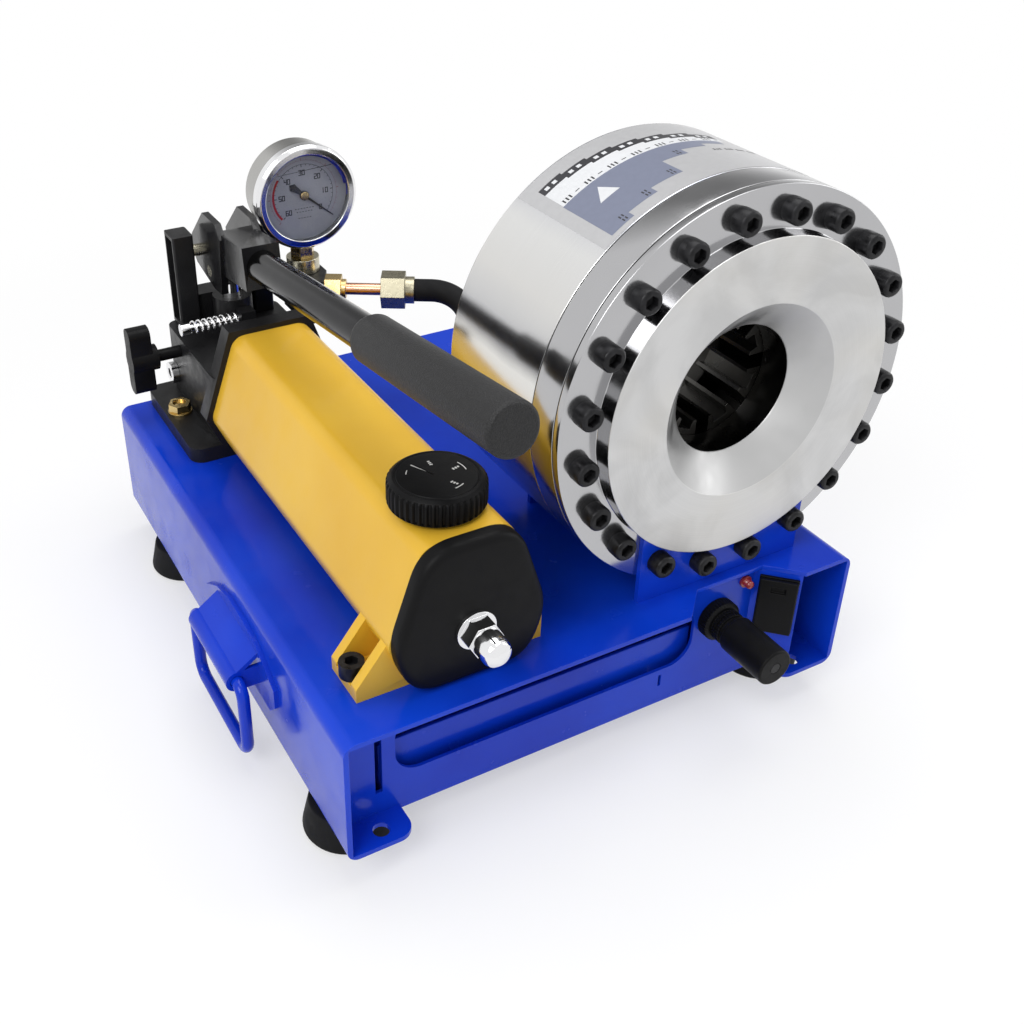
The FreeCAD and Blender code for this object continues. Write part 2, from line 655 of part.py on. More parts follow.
def mirrored(name, source):
    """The source reflected across the middle plane of the base."""
    obj = doc.addObject("Part::Mirroring", name)
    obj.Source = source
    obj.Normal = Vector(1, 0, 0)
    return obj


def node(name, obj):
    """Keep an object as a piece of the machine."""
    obj.Label = name
    nodes.append(obj)
    return obj


def rod_path(points, bends):
    """Straight runs between points, joined by tangent arcs of the given radii."""
    edges = []
    start = points[0]
    for corner, following, radius in zip(points[1:-1], points[2:], bends):
        towards = (corner - start).normalize()
        onwards = (following - corner).normalize()
        turn = towards.getAngle(onwards)
        radius = float(radius)
        tangent = radius * math.tan(turn / 2)
        arc_start = corner - towards * tangent
        arc_end = corner + onwards * tangent
        inward = (onwards - towards).normalize()
        centre = corner + inward * (radius / math.cos(turn / 2))
        arc_middle = centre - inward * radius
        edges.append(Part.LineSegment(start, arc_start).toShape())
        edges.append(Part.Arc(arc_start, arc_middle, arc_end).toShape())
        start = arc_end
    edges.append(Part.LineSegment(start, points[-1]).toShape())
    return Part.Wire(edges)


def rod(name, path, radius):
    """A round rod along a path."""
    start = path.Edges[0].valueAt(path.Edges[0].FirstParameter)
    direction = path.Edges[0].tangentAt(path.Edges[0].FirstParameter)
    section = Part.Wire([Part.makeCircle(float(radius), start, direction)])
    obj = doc.addObject("Part::Feature", name)
    obj.Shape = path.makePipeShell([section], True, False)
    return obj


def base_shell():
    """Folded tube of sheet steel with a notch in the deck and four corner tabs below."""
    half = base_width / 2
    inner = half - v.base_sheet
    top = v.base_height - v.base_sheet
    outer_loop = [(-half, 0), (half, 0), (half, v.base_height), (-half, v.base_height)]
    inner_loop = [(-inner, v.base_sheet), (inner, v.base_sheet), (inner, top), (-inner, top)]
    tube = padded("base_tube", v.base_depth, (0, back, v.foot_height), FACING_FRONT,
                  [outer_loop, inner_loop])
    wall = float(half)

    def outer_bend(p, d):
        return parallel_to(UP)(p, d) and abs(abs(p.x) - wall) < NEAR

    edge_feature(tube, "Fillet", outer_bend, {"Radius": v.base_bend})
    through = v.base_sheet + v.past * 2
    below = v.foot_height - v.past
    tools = [notch_tool()]
    for name, y in (("front", front - v.past), ("rear", back - v.panel_setback)):
        tools.append(box("tab_gap_" + name, base_width - v.tab_width * 2,
                         v.panel_setback + v.past, through, (left + v.tab_width, y, below)))
    for number, (x, y) in enumerate(bench_holes()):
        tools.append(cylinder("bench_hole_%d" % number, v.bench_hole_dia / 2, through, (x, y, below)))
    shell = cut("base_cut", tube, tools)
    tab_edge = float(half - v.tab_width)
    tab_top = float(v.foot_height + v.base_sheet)
    ends = (float(front), float(back))

    def tab_corner(p, d):
        upright = parallel_to(UP)(p, d) and p.z < tab_top
        return upright and abs(abs(p.x) - tab_edge) < NEAR and min(abs(p.y - y) for y in ends) < NEAR

    node("base_shell", rounded("base_rounded", shell, tab_corner, v.tab_round))


def bench_holes():
    """Centres of the bench bolt holes."""
    x = base_width / 2 - v.bench_hole_side
    y = v.base_depth / 2 - v.bench_hole_end
    return [(-x, -y), (x, -y), (-x, y), (x, y)]


def notch_tool():
    """The deck notch: straight at the back, with ends at 45 degrees."""
    notch = head_x - v.notch_side
    y = front + v.notch_depth
    spread = v.notch_depth + v.past
    points = [(notch, y), (notch - spread, front - v.past),
              (notch + v.notch_length + spread, front - v.past), (notch + v.notch_length, y)]
    return padded("deck_notch", v.base_sheet + v.past * 2, (0, 0, deck - v.base_sheet - v.past),
                  PLAIN, [points])


def front_panel():
    """Set-back panel whose right end turns forward at 45 degrees under the notch."""
    y = front + v.panel_setback
    x = left + v.base_sheet
    bend = head_x - v.notch_side + v.notch_length + v.notch_depth - v.panel_setback
    reach = v.panel_setback - v.panel_end_gap
    lean = v.panel_sheet * math.sqrt(0.5)
    knee = v.panel_sheet * math.tan(math.radians(22.5))
    points = [(x, y), (bend, y), (bend + reach, y - reach),
              (bend + reach + lean, y - reach + lean), (bend + knee, y + v.panel_sheet),
              (x, y + v.panel_sheet)]
    height = v.base_height - v.base_sheet * 2
    panel = padded("panel_sheet_body", height, (0, 0, v.foot_height + v.base_sheet), PLAIN, [points])
    through = v.panel_sheet + v.past * 2
    start = y - v.past
    slot_start = left + v.slot_left
    slot = box("slot_cut", head_x - v.slot_side - slot_start, through, v.slot_height,
               (slot_start, start, deck - v.slot_drop))
    slot = rounded("slot_rounded", slot, parallel_to(BACK), v.slot_round)
    slit = box("slit_cut", v.slit_width, through, v.slit_height,
               (left + v.slit_left, start, deck - v.slit_drop))
    small = box("small_slit_cut", v.small_slit_width, through, v.small_slit_height,
                (head_x - v.small_slit_side, start, deck - v.small_slit_drop))
    barrel = cylinder("barrel_hole", v.barrel_dia / 2 + v.fit, through,
                      (head_x, start, deck - v.screw_height), BACK)
    lamp = cylinder("lamp_hole", v.lamp_dia / 2 + v.fit, through,
                    (head_x + v.lamp_side, start, deck - v.lamp_drop), BACK)
    inner = v.battery_width - v.battery_wall * 2
    tall = v.battery_height - v.battery_wall * 2
    window = box("battery_hole", inner, through * 2, tall, (0, 0, 0))
    place_on_slant(window, -inner / 2, -through, -tall / 2)
    node("front_panel", cut("front_panel_cut", panel, [slot, slit, small, barrel, lamp, window]))


def slant_point(side, depth, rise):
    """A point on the slanted end of the front panel: along it, behind it and up."""
    x = head_x + v.battery_side
    y = front - v.notch_side + v.notch_length + v.notch_depth - v.battery_side
    diagonal = math.sqrt(0.5)
    return (x + side * diagonal + depth * diagonal, y - side * diagonal + depth * diagonal,
            deck - v.battery_drop + rise)


def place_on_slant(obj, side, depth, rise):
    return place(obj, slant_point(side, depth, rise), SLANT)


def rear_panel():
    height = v.base_height - v.base_sheet * 2
    width = base_width - v.base_sheet * 2
    node("rear_panel", box("rear_panel_sheet", width, v.panel_sheet, height,
                           (left + v.base_sheet, back - v.panel_setback - v.panel_sheet,
                            v.foot_height + v.base_sheet)))


def die_tray():
    """Open tray for spare dies behind the long slot, up to the stop screw."""
    x = left + v.tray_left
    y = front + v.panel_setback + v.panel_sheet + v.tray_gap
    z = v.foot_height + v.base_sheet
    length = head_x - v.barrel_dia / 2 - v.tray_gap - x
    wall = v.tray_sheet
    outside = box("tray_outside", length, v.tray_width, v.tray_height, (x, y, z))
    inside = box("tray_inside", length - wall * 2, v.tray_width - wall * 2, v.tray_height,
                 (x + wall, y + wall, z + wall))
    node("die_tray", cut("tray_cut", outside, [inside]))


def rubber_feet():
    edge = v.foot_dia / 2
    points = [(0, 0), (edge - v.foot_edge, 0), (edge, v.foot_edge),
              (v.foot_top_dia / 2, v.foot_height), (0, v.foot_height)]
    foot = turned("foot", (0, 0, 0), FACING_FRONT, points)
    x = base_width / 2 - v.foot_inset
    places = [(-x, front + v.foot_front), (x, front + v.foot_front),
              (-x, back - v.foot_rear), (x, back - v.foot_rear)]
    node("rubber_feet", copies("feet", foot, [shift(px, py) for px, py in places]))


def bolt_angles():
    """Angles of the cap bolts from the top, clockwise from the front, in degrees."""
    step = 360.0 / BOLT_COUNT
    return [step / 2 + step * number for number in range(BOLT_COUNT)]


def on_bolt_circle(angle):
    radius = v.drum_dia / 2 - v.bolt_inset
    return (head_x + radius * math.sin(math.radians(angle)),
            head_z + radius * math.cos(math.radians(angle)))


def mount_angles():
    """Angles of the bolts that also hold the mounting plates: those nearest the bottom."""
    return sorted(bolt_angles(), key=lambda angle: abs(angle - 180.0))[:MOUNT_BOLTS]


def socket_bolt(name, grip):
    """Socket head bolt with its head facing -Y and its seat at the local origin."""
    head = cylinder(name + "_head", v.bolt_head_dia / 2, v.bolt_head_height, (0, 0, 0), FORTH)
    shank = cylinder(name + "_shank", v.bolt_dia / 2, grip, (0, 0, 0), BACK)
    socket = hexagon(name + "_socket", v.bolt_socket, v.bolt_socket_depth + v.past,
                     (0, -v.bolt_head_height - v.past, 0), BACK)
    return cut(name, fuse(name + "_blank", [head, shank]), [socket])


def head_bolts():
    """Twenty cap bolts, four of them on the front plate, and four bolts on the rear plate."""
    bolt = socket_bolt("cap_bolt", v.bolt_grip)
    rear_bolt = socket_bolt("rear_bolt", v.rear_bolt_grip)
    places = []
    for angle in bolt_angles():
        x, z = on_bolt_circle(angle)
        seat = flange_y - v.mount_sheet if angle in mount_angles() else flange_y
        places.append(shift(x, seat, z))
    cap_bolts = copies("cap_bolts", bolt, places)
    turn = spun(Vector(), Vector(*UP), 180.0)
    places = []
    for angle in mount_angles():
        x, z = on_bolt_circle(angle)
        places.append(shift(x, drum_back_y + v.mount_sheet, z).multiply(turn))
    rear_bolts = copies("rear_bolts", rear_bolt, places)
    node("head_bolts", gathered("all_head_bolts", [cap_bolts, rear_bolts]))


def bolt_holes(name, angles, y, length):
    holes = []
    for number, angle in enumerate(angles):
        x, z = on_bolt_circle(angle)
        holes.append(cylinder("%s_%d" % (name, number), v.bolt_dia / 2 + v.fit, length,
                              (x, y, z), BACK))
    return holes


def front_cap():
    """Bolt flange with the raised disc, the conical mouth and the throat."""
    rim = v.drum_dia / 2
    disc = v.disc_dia / 2
    throat = v.throat_dia / 2
    flange = v.disc_height
    groove = flange + v.cap_groove_depth
    wide = v.cap_groove_width
    end = flange + v.cap_thick
    chamfer = v.joint_chamfer
    points = [(v.mouth_dia / 2, 0), (disc, 0), (disc, flange), (rim, flange), (rim, groove),
              (rim - wide, groove), (rim - wide, groove + wide), (rim, groove + wide),
              (rim, end - chamfer), (rim - chamfer, end), (throat, end), (throat, v.mouth_depth)]
    cap = turned("cap_turned", (head_x, disc_y, head_z), PLAIN, points)
    holes = bolt_holes("cap_hole", bolt_angles(), flange_y - v.past, v.cap_thick + v.past * 2)
    node("front_cap", cut("front_cap_cut", cap, holes))


def drum_shell():
    """Drum with a blind bore for the ring piston and a guide sleeve round the through bore."""
    rim = v.drum_dia / 2
    bore = v.drum_bore_dia / 2
    through = v.rear_bore_dia / 2
    sleeve = v.sleeve_dia / 2
    end = v.drum_length
    inner_end = end - v.drum_end
    sleeve_front = inner_end - v.sleeve_length
    chamfer = v.joint_chamfer
    points = [(bore, 0), (rim - chamfer, 0), (rim, chamfer), (rim, end), (through, end),
              (through, sleeve_front), (sleeve, sleeve_front), (sleeve, inner_end), (bore, inner_end)]
    drum = turned("drum_turned", (head_x, joint_y, head_z), PLAIN, points)
    depth = v.bolt_grip - v.cap_thick + v.past * 2
    tools = bolt_holes("drum_hole", bolt_angles(), joint_y - v.past, depth)
    tools += bolt_holes("rear_hole", mount_angles(), drum_back_y - v.rear_bolt_grip,
                        v.rear_bolt_grip + v.past)
    x, z = port_centre()
    tools.append(cylinder("port_bore", v.hose_dia / 4, v.drum_end + v.past * 2,
                          (x, drum_back_y - v.drum_end - v.past, z), BACK))
    node("drum_shell", cut("drum_cut", drum, tools))


def port_centre():
    return head_x - v.port_side, deck + v.mount_height + v.port_rise


def cone_slope():
    """Radial travel of the dies for each millimetre of piston travel."""
    return v.die_travel / v.piston_stroke


def ring_piston():
    """Ring piston, drawn back, with the cone that closes the dies."""
    outer = v.drum_bore_dia / 2 - v.running
    bore = v.sleeve_dia / 2 + v.running
    length = v.piston_length
    back_gap = v.clearance * 3
    mouth = v.die_outer + v.clearance / 2
    taper = (mouth - bore) / cone_slope()
    y = drum_back_y - v.drum_end - back_gap - length
    points = [(mouth, 0), (outer, 0), (outer, length), (bore, length), (bore, taper)]
    node("ring_piston", turned("piston_turned", (head_x, y, head_z), PLAIN, points))


def dies():
    """Eight wedge dies with a groove along the inner face and a slot in the front face, opened."""
    half_angle = math.radians(180.0 / DIE_COUNT)
    side = v.die_gap / 2
    inner_x = v.die_inner * math.sin(half_angle) - side
    inner_y = v.die_inner * math.cos(half_angle)
    outer_y = v.die_outer * math.cos(half_angle)
    outer_x = v.die_outer * math.sin(half_angle) - side
    groove = v.die_groove_width / 2
    lip = inner_y + v.die_lip
    floor = inner_y + v.die_groove_depth
    crest = v.die_outer + v.past
    section = [(-inner_x, inner_y), (-groove, lip), (-groove, floor), (groove, floor), (groove, lip),
               (inner_x, inner_y), (outer_x, outer_y), (outer_x / 2, crest), (-outer_x / 2, crest),
               (-outer_x, outer_y)]
    wedge = padded("die_wedge", v.die_length, (0, v.die_length, 0), FACING_FRONT, [section])
    rear = v.die_outer - v.die_length * cone_slope()
    envelope = cone("die_envelope", v.die_outer, rear, v.die_length, (0, 0, 0), BACK)
    shaped = common("die_shaped", wedge, envelope)
    middle = (v.die_inner + v.die_outer) / 2
    slot = box("die_setting_slot", v.die_slot_width, v.die_slot_depth + v.past, v.die_outer,
               (-v.die_slot_width / 2, -v.past, middle))
    die = cut("die_pattern", shaped, [slot])
    at = Vector(float(head_x), float(joint_y + v.clearance), float(head_z))
    for number in range(DIE_COUNT):
        angle = 360.0 / DIE_COUNT * (number + 0.5)
        turn = FreeCAD.Placement(at, Rotation(Vector(*BACK), angle))
        opened = turn.multiply(shift(z=v.die_travel))
        node("die_%d" % (number + 1), copies("die_%d_copy" % (number + 1), die, [opened]))


def mounting_plates():
    """Upright plates on the deck that hold the drum by its lowest bolts."""
    x = head_x - v.mount_width / 2
    through = v.mount_sheet + v.past * 2
    for name, y in (("front", flange_y - v.mount_sheet), ("rear", drum_back_y)):
        plate = box("mount_%s_sheet" % name, v.mount_width, v.mount_sheet, v.mount_height,
                    (x, y, deck))
        holes = bolt_holes("mount_%s_hole" % name, mount_angles(), y - v.past, through)
        if name == "front":
            holes.append(cylinder("mount_disc_room", v.disc_dia / 2 + v.clearance, through,
                                  (head_x, y - v.past, head_z), BACK))
        node("head_plate_" + name, cut("mount_%s_cut" % name, plate, holes))


def port_fitting():
    x, z = port_centre()
    nut = hexagon("port_hexagon", v.port_hex, v.port_hex_length, (x, drum_back_y, z), BACK)
    neck = cylinder("port_neck", v.port_neck_dia / 2, v.port_neck_length,
                    (x, drum_back_y + v.port_hex_length, z), BACK)
    node("port_fitting", fuse("port_fused", [nut, neck]))


def line_turn():
    """Cosine and sine of the angle that the pressure line is turned to the front."""
    angle = math.radians(float(v.line_angle))
    return math.cos(angle), math.sin(angle)


def line_axis():
    along_x, along_y = line_turn()
    return along_x, -along_y, 0


def block_rear():
    return front + v.gauge_back + v.adapter_dia / 2 + v.block_margin


def line_point(distance):
    """A point on the axis of the pressure line, in front of the outlet block's slanting face."""
    along_x, along_y = line_turn()
    half_face = v.block_face / 2
    face_x = pump_x + v.head_half + v.block_width - half_face * along_y
    face_y = block_rear() - v.block_length + half_face * along_x
    return face_x + distance * along_x, face_y - distance * along_y, deck + v.line_height


def outlet_block():
    """Block beside the pump head that carries the gauge and the pressure line."""
    along_x, along_y = line_turn()
    x = pump_x + v.head_half
    rear = block_rear()
    face = v.block_face
    end = rear - v.block_length
    points = [(x, rear), (x + v.block_width, rear), (x + v.block_width, end + face * along_x),
              (x + v.block_width - face * along_y, end), (x, end)]
    bottom = deck + v.block_bottom
    node("outlet_block", padded("block_pad", v.block_height, (0, 0, bottom), PLAIN, [points]))
    spot = (pump_x + v.gauge_side, front + v.gauge_back, bottom + v.block_height)
    node("gauge_adapter", cylinder("adapter_round", v.adapter_dia / 2, v.adapter_height, spot))


def pressure_line():
    """Brass nut, copper tube and hose nut between the outlet block and the hose."""
    tube_start = v.line_nut_length
    tube_end = tube_start + v.line_tube_length
    axis = line_axis()
    nut = hexagon("line_nut_hexagon", v.line_nut_hex, v.line_nut_length - v.line_neck_length,
                  line_point(0), axis)
    neck = cylinder("line_nut_neck", v.line_neck_dia / 2, v.line_nut_length, line_point(0), axis)
    node("outlet_nut", fuse("line_nut_fused", [nut, neck]))
    node("outlet_tube", cylinder("line_tube", v.line_tube_dia / 2, v.line_tube_length,
                                 line_point(tube_start), axis))
    hose_hex = hexagon("hose_nut_hexagon", v.hose_nut_hex, v.hose_nut_length - v.ferrule_length,
                       line_point(tube_end), axis)
    ferrule = cylinder("hose_ferrule", v.ferrule_dia / 2, v.hose_nut_length, line_point(tube_end),
                       axis)
    node("hose_nut", fuse("hose_nut_fused", [hose_hex, ferrule]))


def hydraulic_hose():
    """Pressure hose from the pump's outlet, down behind the drum and into its port."""
    start = v.line_nut_length + v.line_tube_length + v.hose_nut_length
    x, z = port_centre()
    end_y = drum_back_y + v.port_hex_length + v.port_neck_length
    corners = [line_point(start), line_point(start + v.hose_lead), (x, end_y + v.hose_sweep, z),
               (x, end_y, z)]
    path = rod_path([point(corner) for corner in corners], [v.hose_bend, v.hose_heel])
    node("hydraulic_hose", rod("hose", path, v.hose_dia / 2))


def gauge():
    """Pressure gauge on its adapter: case, bezel, dial, needle and window."""
    x = pump_x + v.gauge_side
    y = front + v.gauge_back
    z = deck + v.gauge_height
    block_top = deck + v.block_bottom + v.block_height + v.adapter_height
    case = v.gauge_case_dia / 2
    wall = v.gauge_wall
    depth = v.gauge_case_depth
    face = y - depth / 2
    ledge = v.bezel_depth - v.bezel_lip
    floor = ledge + v.dial_sheet
    points = [(0, depth), (case - wall, depth), (case, depth - wall), (case, 0), (case - wall, 0),
              (case - wall, floor), (0, floor)]
    body = turned("gauge_case_turned", (x, face, z), PLAIN, points)
    stem = hexagon("gauge_stem", v.gauge_stem_hex, z - case + wall / 2 - block_top, (x, y, block_top))
    node("gauge_case", fuse("gauge_case_fused", [body, stem]))
    ring = v.bezel_dia / 2
    window = v.bezel_window_dia / 2
    lip = v.bezel_lip
    section = [(window, -lip), (ring - lip, -lip), (ring, 0), (ring, ledge), (case, ledge),
               (case, 0), (window, 0)]
    node("gauge_bezel", turned("gauge_bezel_turned", (x, face, z), PLAIN, section))
    inside = case - wall - v.running
    node("gauge_dial", cylinder("gauge_dial_disc", inside, v.dial_sheet, (x, face + ledge, z), BACK))
    node("gauge_lens", cylinder("gauge_lens_disc", inside, v.dial_sheet * 1.5, (x, face, z), BACK))
    gauge_needle(x, face + ledge - v.clearance - v.needle_sheet, z)


def gauge_needle(x, y, z):
    """Pointer with a broad tail on a round hub."""
    hub = cylinder("needle_hub", v.needle_hub_dia / 2, v.needle_sheet + v.needle_hub,
                   (x, y - v.needle_hub, z), BACK)
    half = v.needle_width / 2
    tip = v.needle_tip / 2
    broad = v.needle_tail_width / 2
    outline = [(-half, 0), (-tip, -v.needle_length), (tip, -v.needle_length), (half, 0),
               (broad, v.needle_tail - broad), (0, v.needle_tail), (-broad, v.needle_tail - broad)]
    blade = padded("needle_blade", v.needle_sheet, (x, y + v.needle_sheet, z), FACING_FRONT,
                   [outline])
    swing = spun(point((x, 0, z)), Vector(*BACK), float(v.needle_angle) - 90.0)
    node("gauge_needle", copies("needle_turned", fuse("needle_fused", [blade, hub]), [swing]))


def tank_outline(grow):
    """Six corners of the reservoir's section, grown outwards on every side."""
    top = v.tank_top + grow
    bottom = v.tank_lift - grow
    top_half = v.tank_top_half + grow * 0.8
    waist_half = v.tank_waist_half + grow
    bottom_half = v.tank_bottom_half + grow * 0.8
    return [(-bottom_half, bottom), (bottom_half, bottom), (waist_half, v.tank_waist),
            (top_half, top), (-top_half, top), (-waist_half, v.tank_waist)]


def reservoir():
    """Oil reservoir of rounded hexagonal section with its gusseted front foot."""
    y = front + v.tank_front + v.tank_length
    shell = padded("tank_outer", v.tank_length, (pump_x, y, deck), FACING_FRONT, [tank_outline(0)])
    edge_feature(shell, "Fillet", parallel_to(UP), {"Radius": v.tank_round})
    hollow = padded("tank_inner", v.tank_length + v.past * 2, (pump_x, y + v.past, deck),
                    FACING_FRONT, [tank_outline(-v.tank_wall)])
    edge_feature(hollow, "Fillet", parallel_to(UP), {"Radius": v.tank_round - v.tank_wall})
    ear_y = front + v.ear_setback
    ear_middle = ear_y + v.ear_length / 2
    parts = [shell, box("ear_plate_box", v.ear_left + v.ear_right, v.ear_length, v.ear_plate,
                        (pump_x - v.ear_left, ear_y, deck))]
    rise = v.tank_waist + v.ear_tuck
    inner = v.tank_waist_half - v.ear_tuck
    gusset = [(-v.ear_left, 0), (v.ear_right, 0), (v.ear_right, v.ear_end), (inner, rise),
              (-inner, rise), (-v.ear_left, v.ear_plate + v.ear_step)]
    for name, offset in (("front", v.ear_gusset), ("rear", v.ear_length)):
        parts.append(padded("gusset_" + name, v.ear_gusset, (pump_x, ear_y + offset, deck),
                            FACING_FRONT, [gusset]))
    bolt_x = pump_x - v.ear_bolt_side
    tools = [hollow,
             cylinder("filler_hole", v.filler_neck_dia / 2 + v.running, v.tank_wall * 3,
                      (pump_x, front + v.filler_back, deck + v.tank_top - v.tank_wall * 2)),
             cylinder("ear_bolt_hole", v.bolt_dia / 2 + v.fit, v.ear_plate + v.past * 2,
                      (bolt_x, ear_middle, deck - v.past))]
    node("reservoir", cut("tank_cut", fuse("tank_fused", parts), tools))
    upright = FreeCAD.Placement(point((bolt_x, ear_middle, deck + v.ear_plate)),
                                Rotation(Vector(*RIGHT), -90))
    node("reservoir_bolt", copies("ear_bolt_placed", socket_bolt("ear_bolt", v.ear_plate), [upright]))


def end_cap():
    """Black cap over the front end of the reservoir, with the nut on its through rod."""
    y = front + v.tank_front
    cap = padded("end_cap_pad", v.end_cap_length, (pump_x, y, deck), FACING_FRONT,
                 [tank_outline(v.cap_overhang)])
    edge_feature(cap, "Fillet", parallel_to(UP), {"Radius": v.tank_round + v.cap_overhang})
    depth = float(v.end_cap_length)
    edge_feature(cap, "Chamfer", lambda p, d: abs(p.z - depth) < NEAR, {"Size": v.end_cap_edge})
    z = deck + v.tie_nut_height
    face = y - v.end_cap_length
    hole = cylinder("tie_hole", v.tie_rod_dia / 2 + v.fit, v.end_cap_length + v.past * 2,
                    (pump_x, y + v.past, z), FORTH)
    node("end_cap", cut("end_cap_cut", cap, [hole]))
    washer = cylinder("tie_washer_disc", v.tie_washer_dia / 2, v.tie_washer, (pump_x, face, z), FORTH)
    nut_face = face - v.tie_washer
    nut = hexagon("tie_nut_hexagon", v.tie_nut_hex, v.tie_nut_length, (pump_x, nut_face, z), FORTH)
    dome_y = nut_face - v.tie_nut_length
    dome = v.tie_dome_dia / 2
    barrel = cylinder("tie_dome_barrel", dome, v.tie_dome_length, (pump_x, dome_y, z), FORTH)
    crown = [(0, 0)] + [(dome * across, -dome * up) for across, up in DOME]
    cap_end = turned("tie_dome_end", (pump_x, dome_y - v.tie_dome_length, z), PLAIN, crown)
    stud = cylinder("tie_rod_stud", v.tie_rod_dia / 2, v.end_cap_length + v.tank_length + v.tie_rod_in,
                    (pump_x, face, z), BACK)
    node("tie_nut", fuse("tie_nut_fused", [washer, nut, barrel, cap_end, stud]))


def filler_cap():
    """Round filler cap with upright ribs, on a neck in the reservoir."""
    z = deck + v.tank_top + v.filler_lift
    y = front + v.filler_back
    rib = v.filler_rib_dia / 2
    radius = v.filler_dia / 2 - rib / 2
    neck = v.filler_neck_dia / 2
    top = v.filler_height
    foot = v.filler_foot
    points = [(0, -v.filler_neck_length), (neck, -v.filler_neck_length), (neck, 0), (radius - foot, 0),
              (radius, foot), (radius, top - v.filler_edge), (radius - v.filler_edge, top), (0, top)]
    core = turned("filler_core", (pump_x, y, z), FACING_FRONT, points)
    ribs = []
    count = int(float(v.filler_rib_count))
    middle = radius - rib / 2
    for number in range(count):
        angle = 2 * math.pi * number / count
        spot = (pump_x + middle * math.cos(angle), y + middle * math.sin(angle), z + foot)
        ribs.append(cylinder("filler_rib_%d" % number, rib, top - foot - v.filler_edge, spot))
    node("filler_cap", fuse("filler_fused", [core] + ribs))


def pump_head():
    """Cast pump head: flange, front plate, body, plunger gland, link lug and spring rod lug."""
    y = front + v.tank_front + v.tank_length
    length = front + v.flange_back - y
    flange = box("flange_box", v.flange_half * 2, length, v.flange_thick,
                 (pump_x - v.flange_half, y, deck))
    flange = rounded("flange_rounded", flange, parallel_to(UP), v.tab_round)
    outline = [(x, z if float(z) > 0 else 0) for x, z in tank_outline(v.plate_margin)]
    plate = padded("head_front_plate", v.plate_thick, (pump_x, y + v.plate_thick, deck),
                   FACING_FRONT, [outline])
    body = box("head_body", v.head_half * 2, length - v.head_step, v.head_top,
               (pump_x - v.head_half, y, deck))
    body = rounded("head_body_rounded", body, parallel_to(UP), v.base_bend)
    seat = v.head_top - v.past
    slope = [(0, seat), (0, v.tank_top), (v.plate_thick + v.slope_run, seat)]
    web = padded("head_slope", v.head_half, (pump_x - v.head_half / 2, y, deck), FACING_RIGHT, [slope])
    plunger_y = front + v.plunger_back
    gland = cylinder("gland_round", v.gland_dia / 2, v.gland_top - seat,
                     (pump_x, plunger_y, deck + seat))
    pivot_y = front + v.pivot_back
    lug_half = v.link_inner - v.clearance
    lug = box("link_lug", lug_half * 2, v.link_lug_front + v.link_lug_rise,
              v.link_foot_height + v.link_lug_rise - seat,
              (pump_x - lug_half, pivot_y - v.link_lug_front, deck + seat))
    lock_y = front + v.lock_back
    rod_lug = box("rod_lug", v.lock_dia * 2, v.lock_dia * 2, v.lock_height + v.lock_dia - seat,
                  (pump_x - v.clearance - v.lock_dia / 2, lock_y - v.lock_dia, deck + seat))
    parts = [flange, plate, body, web, gland, lug, rod_lug]
    node("pump_head", cut("pump_head_cut", fuse("pump_head_fused", parts), pump_head_bores()))


def pump_head_bores():
    """Bores for the plunger, the pin, the spring rod, the release valve, the plug and the bolts."""
    y = front + v.tank_front + v.tank_length
    face = pump_x - v.head_half
    bores = [
        cylinder("plunger_bore", v.plunger_dia / 2 + v.running, v.gland_top,
                 (pump_x, front + v.plunger_back, deck + v.plunger_floor)),
        cylinder("link_pin_bore", v.pin_dia / 2 + v.fit, v.head_half * 2,
                 (face, front + v.pivot_back, deck + v.link_foot_height), RIGHT),
        cylinder("lock_bore", v.lock_dia / 2 + v.fit, v.lock_dia * 4,
                 (pump_x - v.lock_dia, front + v.lock_back, deck + v.lock_height), RIGHT),
        cylinder("valve_bore", v.valve_shaft_dia / 2 + v.running, v.valve_shaft_in + v.past * 2,
                 (face - v.past, front + v.valve_back, deck + v.valve_height), RIGHT),
        cylinder("plug_bore", v.plug_shank_dia / 2 + v.fit, v.plug_shank_length + v.past * 2,
                 (face - v.past, front + v.plug_back, deck + v.plug_height), RIGHT),
        cylinder("tie_bore", v.tie_rod_dia / 2 + v.fit, v.tie_rod_in + v.past * 2,
                 (pump_x, y - v.past, deck + v.tie_nut_height), BACK),
    ]
    for name, offset in (("left", -v.flange_bolt_side), ("right", v.flange_bolt_side)):
        bores.append(cylinder("flange_hole_" + name, v.bolt_dia / 2 + v.fit,
                              v.flange_thick + v.past * 2,
                              (pump_x + offset, front + v.flange_bolt_back, deck - v.past)))
    return bores


def flange_bolts():
    """Two hexagon bolts with washer faces that hold the pump head down."""
    top = v.flange_bolt_height
    washer = cylinder("flange_bolt_washer", v.flange_bolt_washer_dia / 2, v.flange_bolt_washer,
                      (0, 0, 0))
    head = hexagon("flange_bolt_head", v.flange_bolt_hex, top, (0, 0, 0))
    dimple = cylinder("flange_bolt_dimple", v.flange_bolt_hex / 3, v.flange_bolt_dimple + v.past,
                      (0, 0, top - v.flange_bolt_dimple))
    shank = cylinder("flange_bolt_shank", v.bolt_dia / 2, v.flange_thick, (0, 0, -v.flange_thick))
    bolt = cut("flange_bolt", fuse("flange_bolt_fused", [washer, head, shank]), [dimple])
    y = front + v.flange_bolt_back
    offsets = (-v.flange_bolt_side, v.flange_bolt_side)
    places = [shift(pump_x + offset, y, deck + v.flange_thick) for offset in offsets]
    node("pump_head_bolts", copies("flange_bolt_pair", bolt, places))


